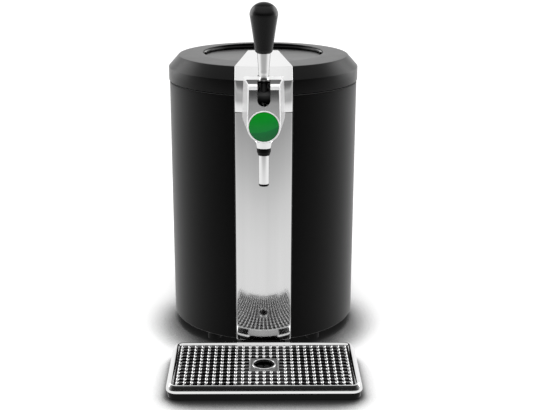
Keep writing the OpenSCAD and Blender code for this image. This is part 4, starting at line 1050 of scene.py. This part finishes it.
# Shares of the bead's width and of its height, from below
BEAD_PROFILE = [(1.0, -0.5), (1.0, 0.0), (0.93, 0.42), (0.75, 0.74), (0.42, 0.95)]
DRAIN_HALF = 17.5
DRAIN_TOP = grille_hi.z - 0.1
DRAIN_EDGE = 0.4
HOLE_R = 14.0
HOLE_SIDES = 48


def spread(length, count):
    """Middles of the bars along one side of the grille, about the side's own middle."""
    first = -length / 2 + MARGIN / 2
    return [first + i * (length - MARGIN) / (count - 1) for i in range(count)]


COLUMN_X = spread(GRILLE_W, COLUMNS)
ROW_Y = spread(GRILLE_D, ROWS)


def runs(offset, half):
    """The one or two lengths of a bar, which leaves the plate round the drain free."""
    if abs(offset) < DRAIN_HALF:
        return [(-half, -DRAIN_HALF), (DRAIN_HALF, half)]
    return [(-half, half)]


def add_bar(bm, x0, x1, y0, y1, top, edge):
    """A bar whose upper edges are bevelled."""
    rings = []
    for inset, z in ((0, grille_lo.z), (0, top - edge), (edge, top)):
        corners = [(x0 + inset, y0 + inset), (x1 - inset, y0 + inset),
                   (x1 - inset, y1 - inset), (x0 + inset, y1 - inset)]
        rings.append([at(x, WELL_Y + y, z) for x, y in corners])
    loft(rings, bm=bm)


def add_bead(bm, x, y):
    """An oval dome, whose foot is sunk in the bars."""
    turn = circle(BEAD_SIDES)
    rows = []
    for width, height in BEAD_PROFILE:
        half_x, half_y, z = BEAD_HALF_X * width, BEAD_HALF_Y * width, BEAD_BASE + BEAD_H * height
        rows.append([bm.verts.new(at(x + half_x * c, WELL_Y + y + half_y * s, z)) for c, s in turn])
    join_rows(bm, rows)
    bm.faces.new(rows[0][::-1])
    crown = bm.verts.new(at(x, WELL_Y + y, BEAD_BASE + BEAD_H))
    for i in range(BEAD_SIDES):
        bm.faces.new((rows[-1][i], rows[-1][(i + 1) % BEAD_SIDES], crown))


def add_drain_plate(bm):
    """Square plate round the drain with a round hole; its upper outer edge is bevelled."""
    turn = circle(HOLE_SIDES)
    rings = []
    for inset, z in ((0, grille_lo.z), (0, DRAIN_TOP - DRAIN_EDGE), (DRAIN_EDGE, DRAIN_TOP)):
        reaches = [DRAIN_HALF / max(abs(c), abs(s)) - inset for c, s in turn]
        rings.append([at(f * c, WELL_Y + f * s, z) for f, (c, s) in zip(reaches, turn)])
    for z in (DRAIN_TOP, grille_lo.z):
        rings.append([at(HOLE_R * c, WELL_Y + HOLE_R * s, z) for c, s in turn])
    loft(rings, closed_rows=True, bm=bm)


def make_grille():
    """Bright part of the grille: the bars from front to back and the beads."""
    bm = bmesh.new()
    for x in COLUMN_X:
        for y0, y1 in runs(x, GRILLE_D / 2):
            add_bar(bm, x - BAR_W / 2, x + BAR_W / 2, y0, y1, BAR_TOP, BAR_EDGE)
    for x in COLUMN_X:
        for y in ROW_Y:
            if max(abs(x), abs(y)) >= DRAIN_HALF + 1:
                add_bead(bm, x, y)
    piece(thing("grille", bm), "grille", "grille_steel", ["drip_grille"], sharp=38)


def make_grille_web():
    """Darker part of the grille: the low cross bars and the plate round the drain. Their darker steel is
    painted shade on parts of the same bright grille.
    """
    bm = bmesh.new()
    for y in ROW_Y:
        for x0, x1 in runs(y, GRILLE_W / 2):
            add_bar(bm, x0, x1, y - CROSS_W / 2, y + CROSS_W / 2, CROSS_TOP, CROSS_EDGE)
    add_drain_plate(bm)
    # Darker steel on the same grille as the bright bars: painted shade.
    piece(thing("grille_web", bm), "grille", "steel", ["drip_grille"], sharp=38)


def make_drain_ring():
    ring_lo, ring_hi = span("drain_ring")
    inside, seat, outside = 13.2, 13.9, 15.5
    profile = rounded(
        [(inside, ring_lo.z), (seat, ring_lo.z), (seat, grille_hi.z), (outside, grille_hi.z),
         (outside, ring_hi.z), (inside, ring_hi.z)],
        [0.2, 0.2, 0, 0.1, 0.6, 0.5], steps=4,
    )
    turned("drain_rim", profile, "grille", "chrome", ["drain_ring"], (0, WELL_Y))


make_grille()
make_grille_web()
make_drain_ring()


# ---- Studio ----

FLOOR_HALF = 9.0
FLOOR_GLOW = 0.45
CONTACT_REACH = 0.07
# The contact shadow is sought along a slope that rises to the back
CONTACT_SLOPE = 0.707
CONTACT_TONES = [
    (0.0, grey(0.005)), (0.3, grey(0.015)), (0.45, grey(0.03)), (0.575, grey(0.08)), (0.66, grey(0.2)),
    (0.745, grey(0.42)), (0.83, grey(0.68)), (0.915, grey(0.9)), (1.0, grey(1.0)),
]
FLOOR_DARK_Y = -2.6
FLOOR_TONES = [
    (0.0, grey(0.16)), (0.12, grey(0.26)), (0.22, grey(0.46)), (0.276, grey(0.53)),
    (0.3125, grey(0.48)), (0.3625, grey(0.44)), (0.49, grey(0.48)), (0.623, grey(0.66)),
    (0.7256, grey(0.86)), (0.8075, grey(0.96)), (0.9, grey(1.0)),
]
FILL = 0.85
WORLD_FRONT = [
    (0.0, grey(0.015)), (0.16, grey(0.03)), (0.305, grey(0.12)), (0.465, grey(0.36)),
    (0.665, grey(0.82)), (0.9, grey(0.96)), (1.0, grey(1.0)),
]
WORLD_UP = [(0.0, grey(0.0)), (0.25, grey(0.1)), (0.5, grey(0.8)), (1.0, grey(1.0))]
WHITE = (1, 1, 1, 1)


def make_floor():
    """Pale floor with a soft contact shadow; in reflections it falls away to dark in front."""
    h = FLOOR_HALF
    mesh = bpy.data.meshes.new("floor")
    mesh.from_pydata([(-h, -h, 0), (h, -h, 0), (h, h, 0), (-h, h, 0)], [], [(0, 1, 2, 3)])
    floor = bpy.data.objects.new("floor", mesh)
    bpy.context.collection.objects.link(floor)
    made = Surface("floor_white")
    near = made.node("ShaderNodeAmbientOcclusion", Distance=CONTACT_REACH)
    tilt = made.node("ShaderNodeCombineXYZ", X=0.0, Y=CONTACT_SLOPE, Z=CONTACT_SLOPE)
    made.join(tilt.outputs["Vector"], near.inputs["Normal"])
    contact = made.ramp(near.outputs["AO"], CONTACT_TONES)
    pale = made.ramp(made.noise(3), [(0.3, grey(0.80)), (0.7, grey(0.82))])
    made.join(made.mix("MULTIPLY", pale, contact), made.shader.inputs["Base Color"])
    made.set(Roughness=0.9, Specular_IOR_Level=0.0)
    path = made.node("ShaderNodeLightPath").outputs
    glow = made.node("ShaderNodeEmission")
    made.join(contact, glow.inputs["Color"])
    made.join(made.maths("MULTIPLY", path["Is Camera Ray"], FLOOR_GLOW), glow.inputs["Strength"])
    seen = made.node("ShaderNodeAddShader")
    made.join(made.shader.outputs["BSDF"], seen.inputs[0])
    made.join(glow.outputs["Emission"], seen.inputs[1])
    share = made.ranged(made.split()["Y"], FLOOR_DARK_Y, 0.0)
    mirrored = made.node("ShaderNodeEmission")
    made.join(made.ramp(share, FLOOR_TONES), mirrored.inputs["Color"])
    shader = made.choose(path["Is Glossy Ray"], seen.outputs["Shader"], mirrored.outputs["Emission"])
    made.join(shader, made.tree.nodes["Material Output"].inputs["Surface"])
    mesh.materials.append(made.material)


def make_world():
    """White to the eye; in reflections bright behind, above and at the sides, dark in front."""
    world = bpy.data.worlds.new("studio")
    bpy.context.scene.world = world
    world.use_nodes = True
    world.node_tree.nodes.clear()
    made = Nodes(world.node_tree)
    towards = made.split("Generated")
    front = made.ramp(made.ranged(towards["Y"], -1, 1), WORLD_FRONT)
    up = made.ramp(made.ranged(towards["Z"], 0, 1), WORLD_UP)
    studio = made.node("ShaderNodeBackground")
    made.join(made.mix("LIGHTEN", front, up), studio.inputs["Color"])
    plain = made.node("ShaderNodeBackground", Color=WHITE)
    fill = made.node("ShaderNodeBackground", Color=WHITE, Strength=FILL)
    path = made.node("ShaderNodeLightPath").outputs
    lit = made.choose(path["Is Glossy Ray"], fill.outputs["Background"], studio.outputs["Background"])
    seen = made.choose(path["Is Camera Ray"], lit, plain.outputs["Background"])
    made.join(seen, made.node("ShaderNodeOutputWorld").inputs["Surface"])


def softbox(name, place, target, size, power, seen_by):
    """A rectangular lamp for one kind of ray only, diffuse or glossy."""
    data = bpy.data.lights.new(name, "AREA")
    data.shape = "RECTANGLE"
    data.size, data.size_y = size
    data.energy = power
    lamp = bpy.data.objects.new(name, data)
    bpy.context.collection.objects.link(lamp)
    lamp.location = place
    lamp.rotation_euler = (Vector(target) - Vector(place)).to_track_quat("-Z", "Y").to_euler()
    lamp.visible_diffuse = seen_by == "diffuse"
    lamp.visible_glossy = seen_by == "glossy"


make_floor()
make_world()
softbox("top", (0, -0.75, 2.1), (0, -0.1, 0.35), (1.3, 1.0), 15, "diffuse")
softbox("crown", (0, -0.75, 2.1), (0, -0.1, 0.35), (1.3, 1.0), 16, "glossy")
for side in (-1, 1):
    softbox("side", (1.9 * side, 1.0, 0.9), (0, 0, 0.3), (1.7, 1.9), 24, "glossy")

view = bpy.context.scene.view_settings
view.view_transform = "Standard"
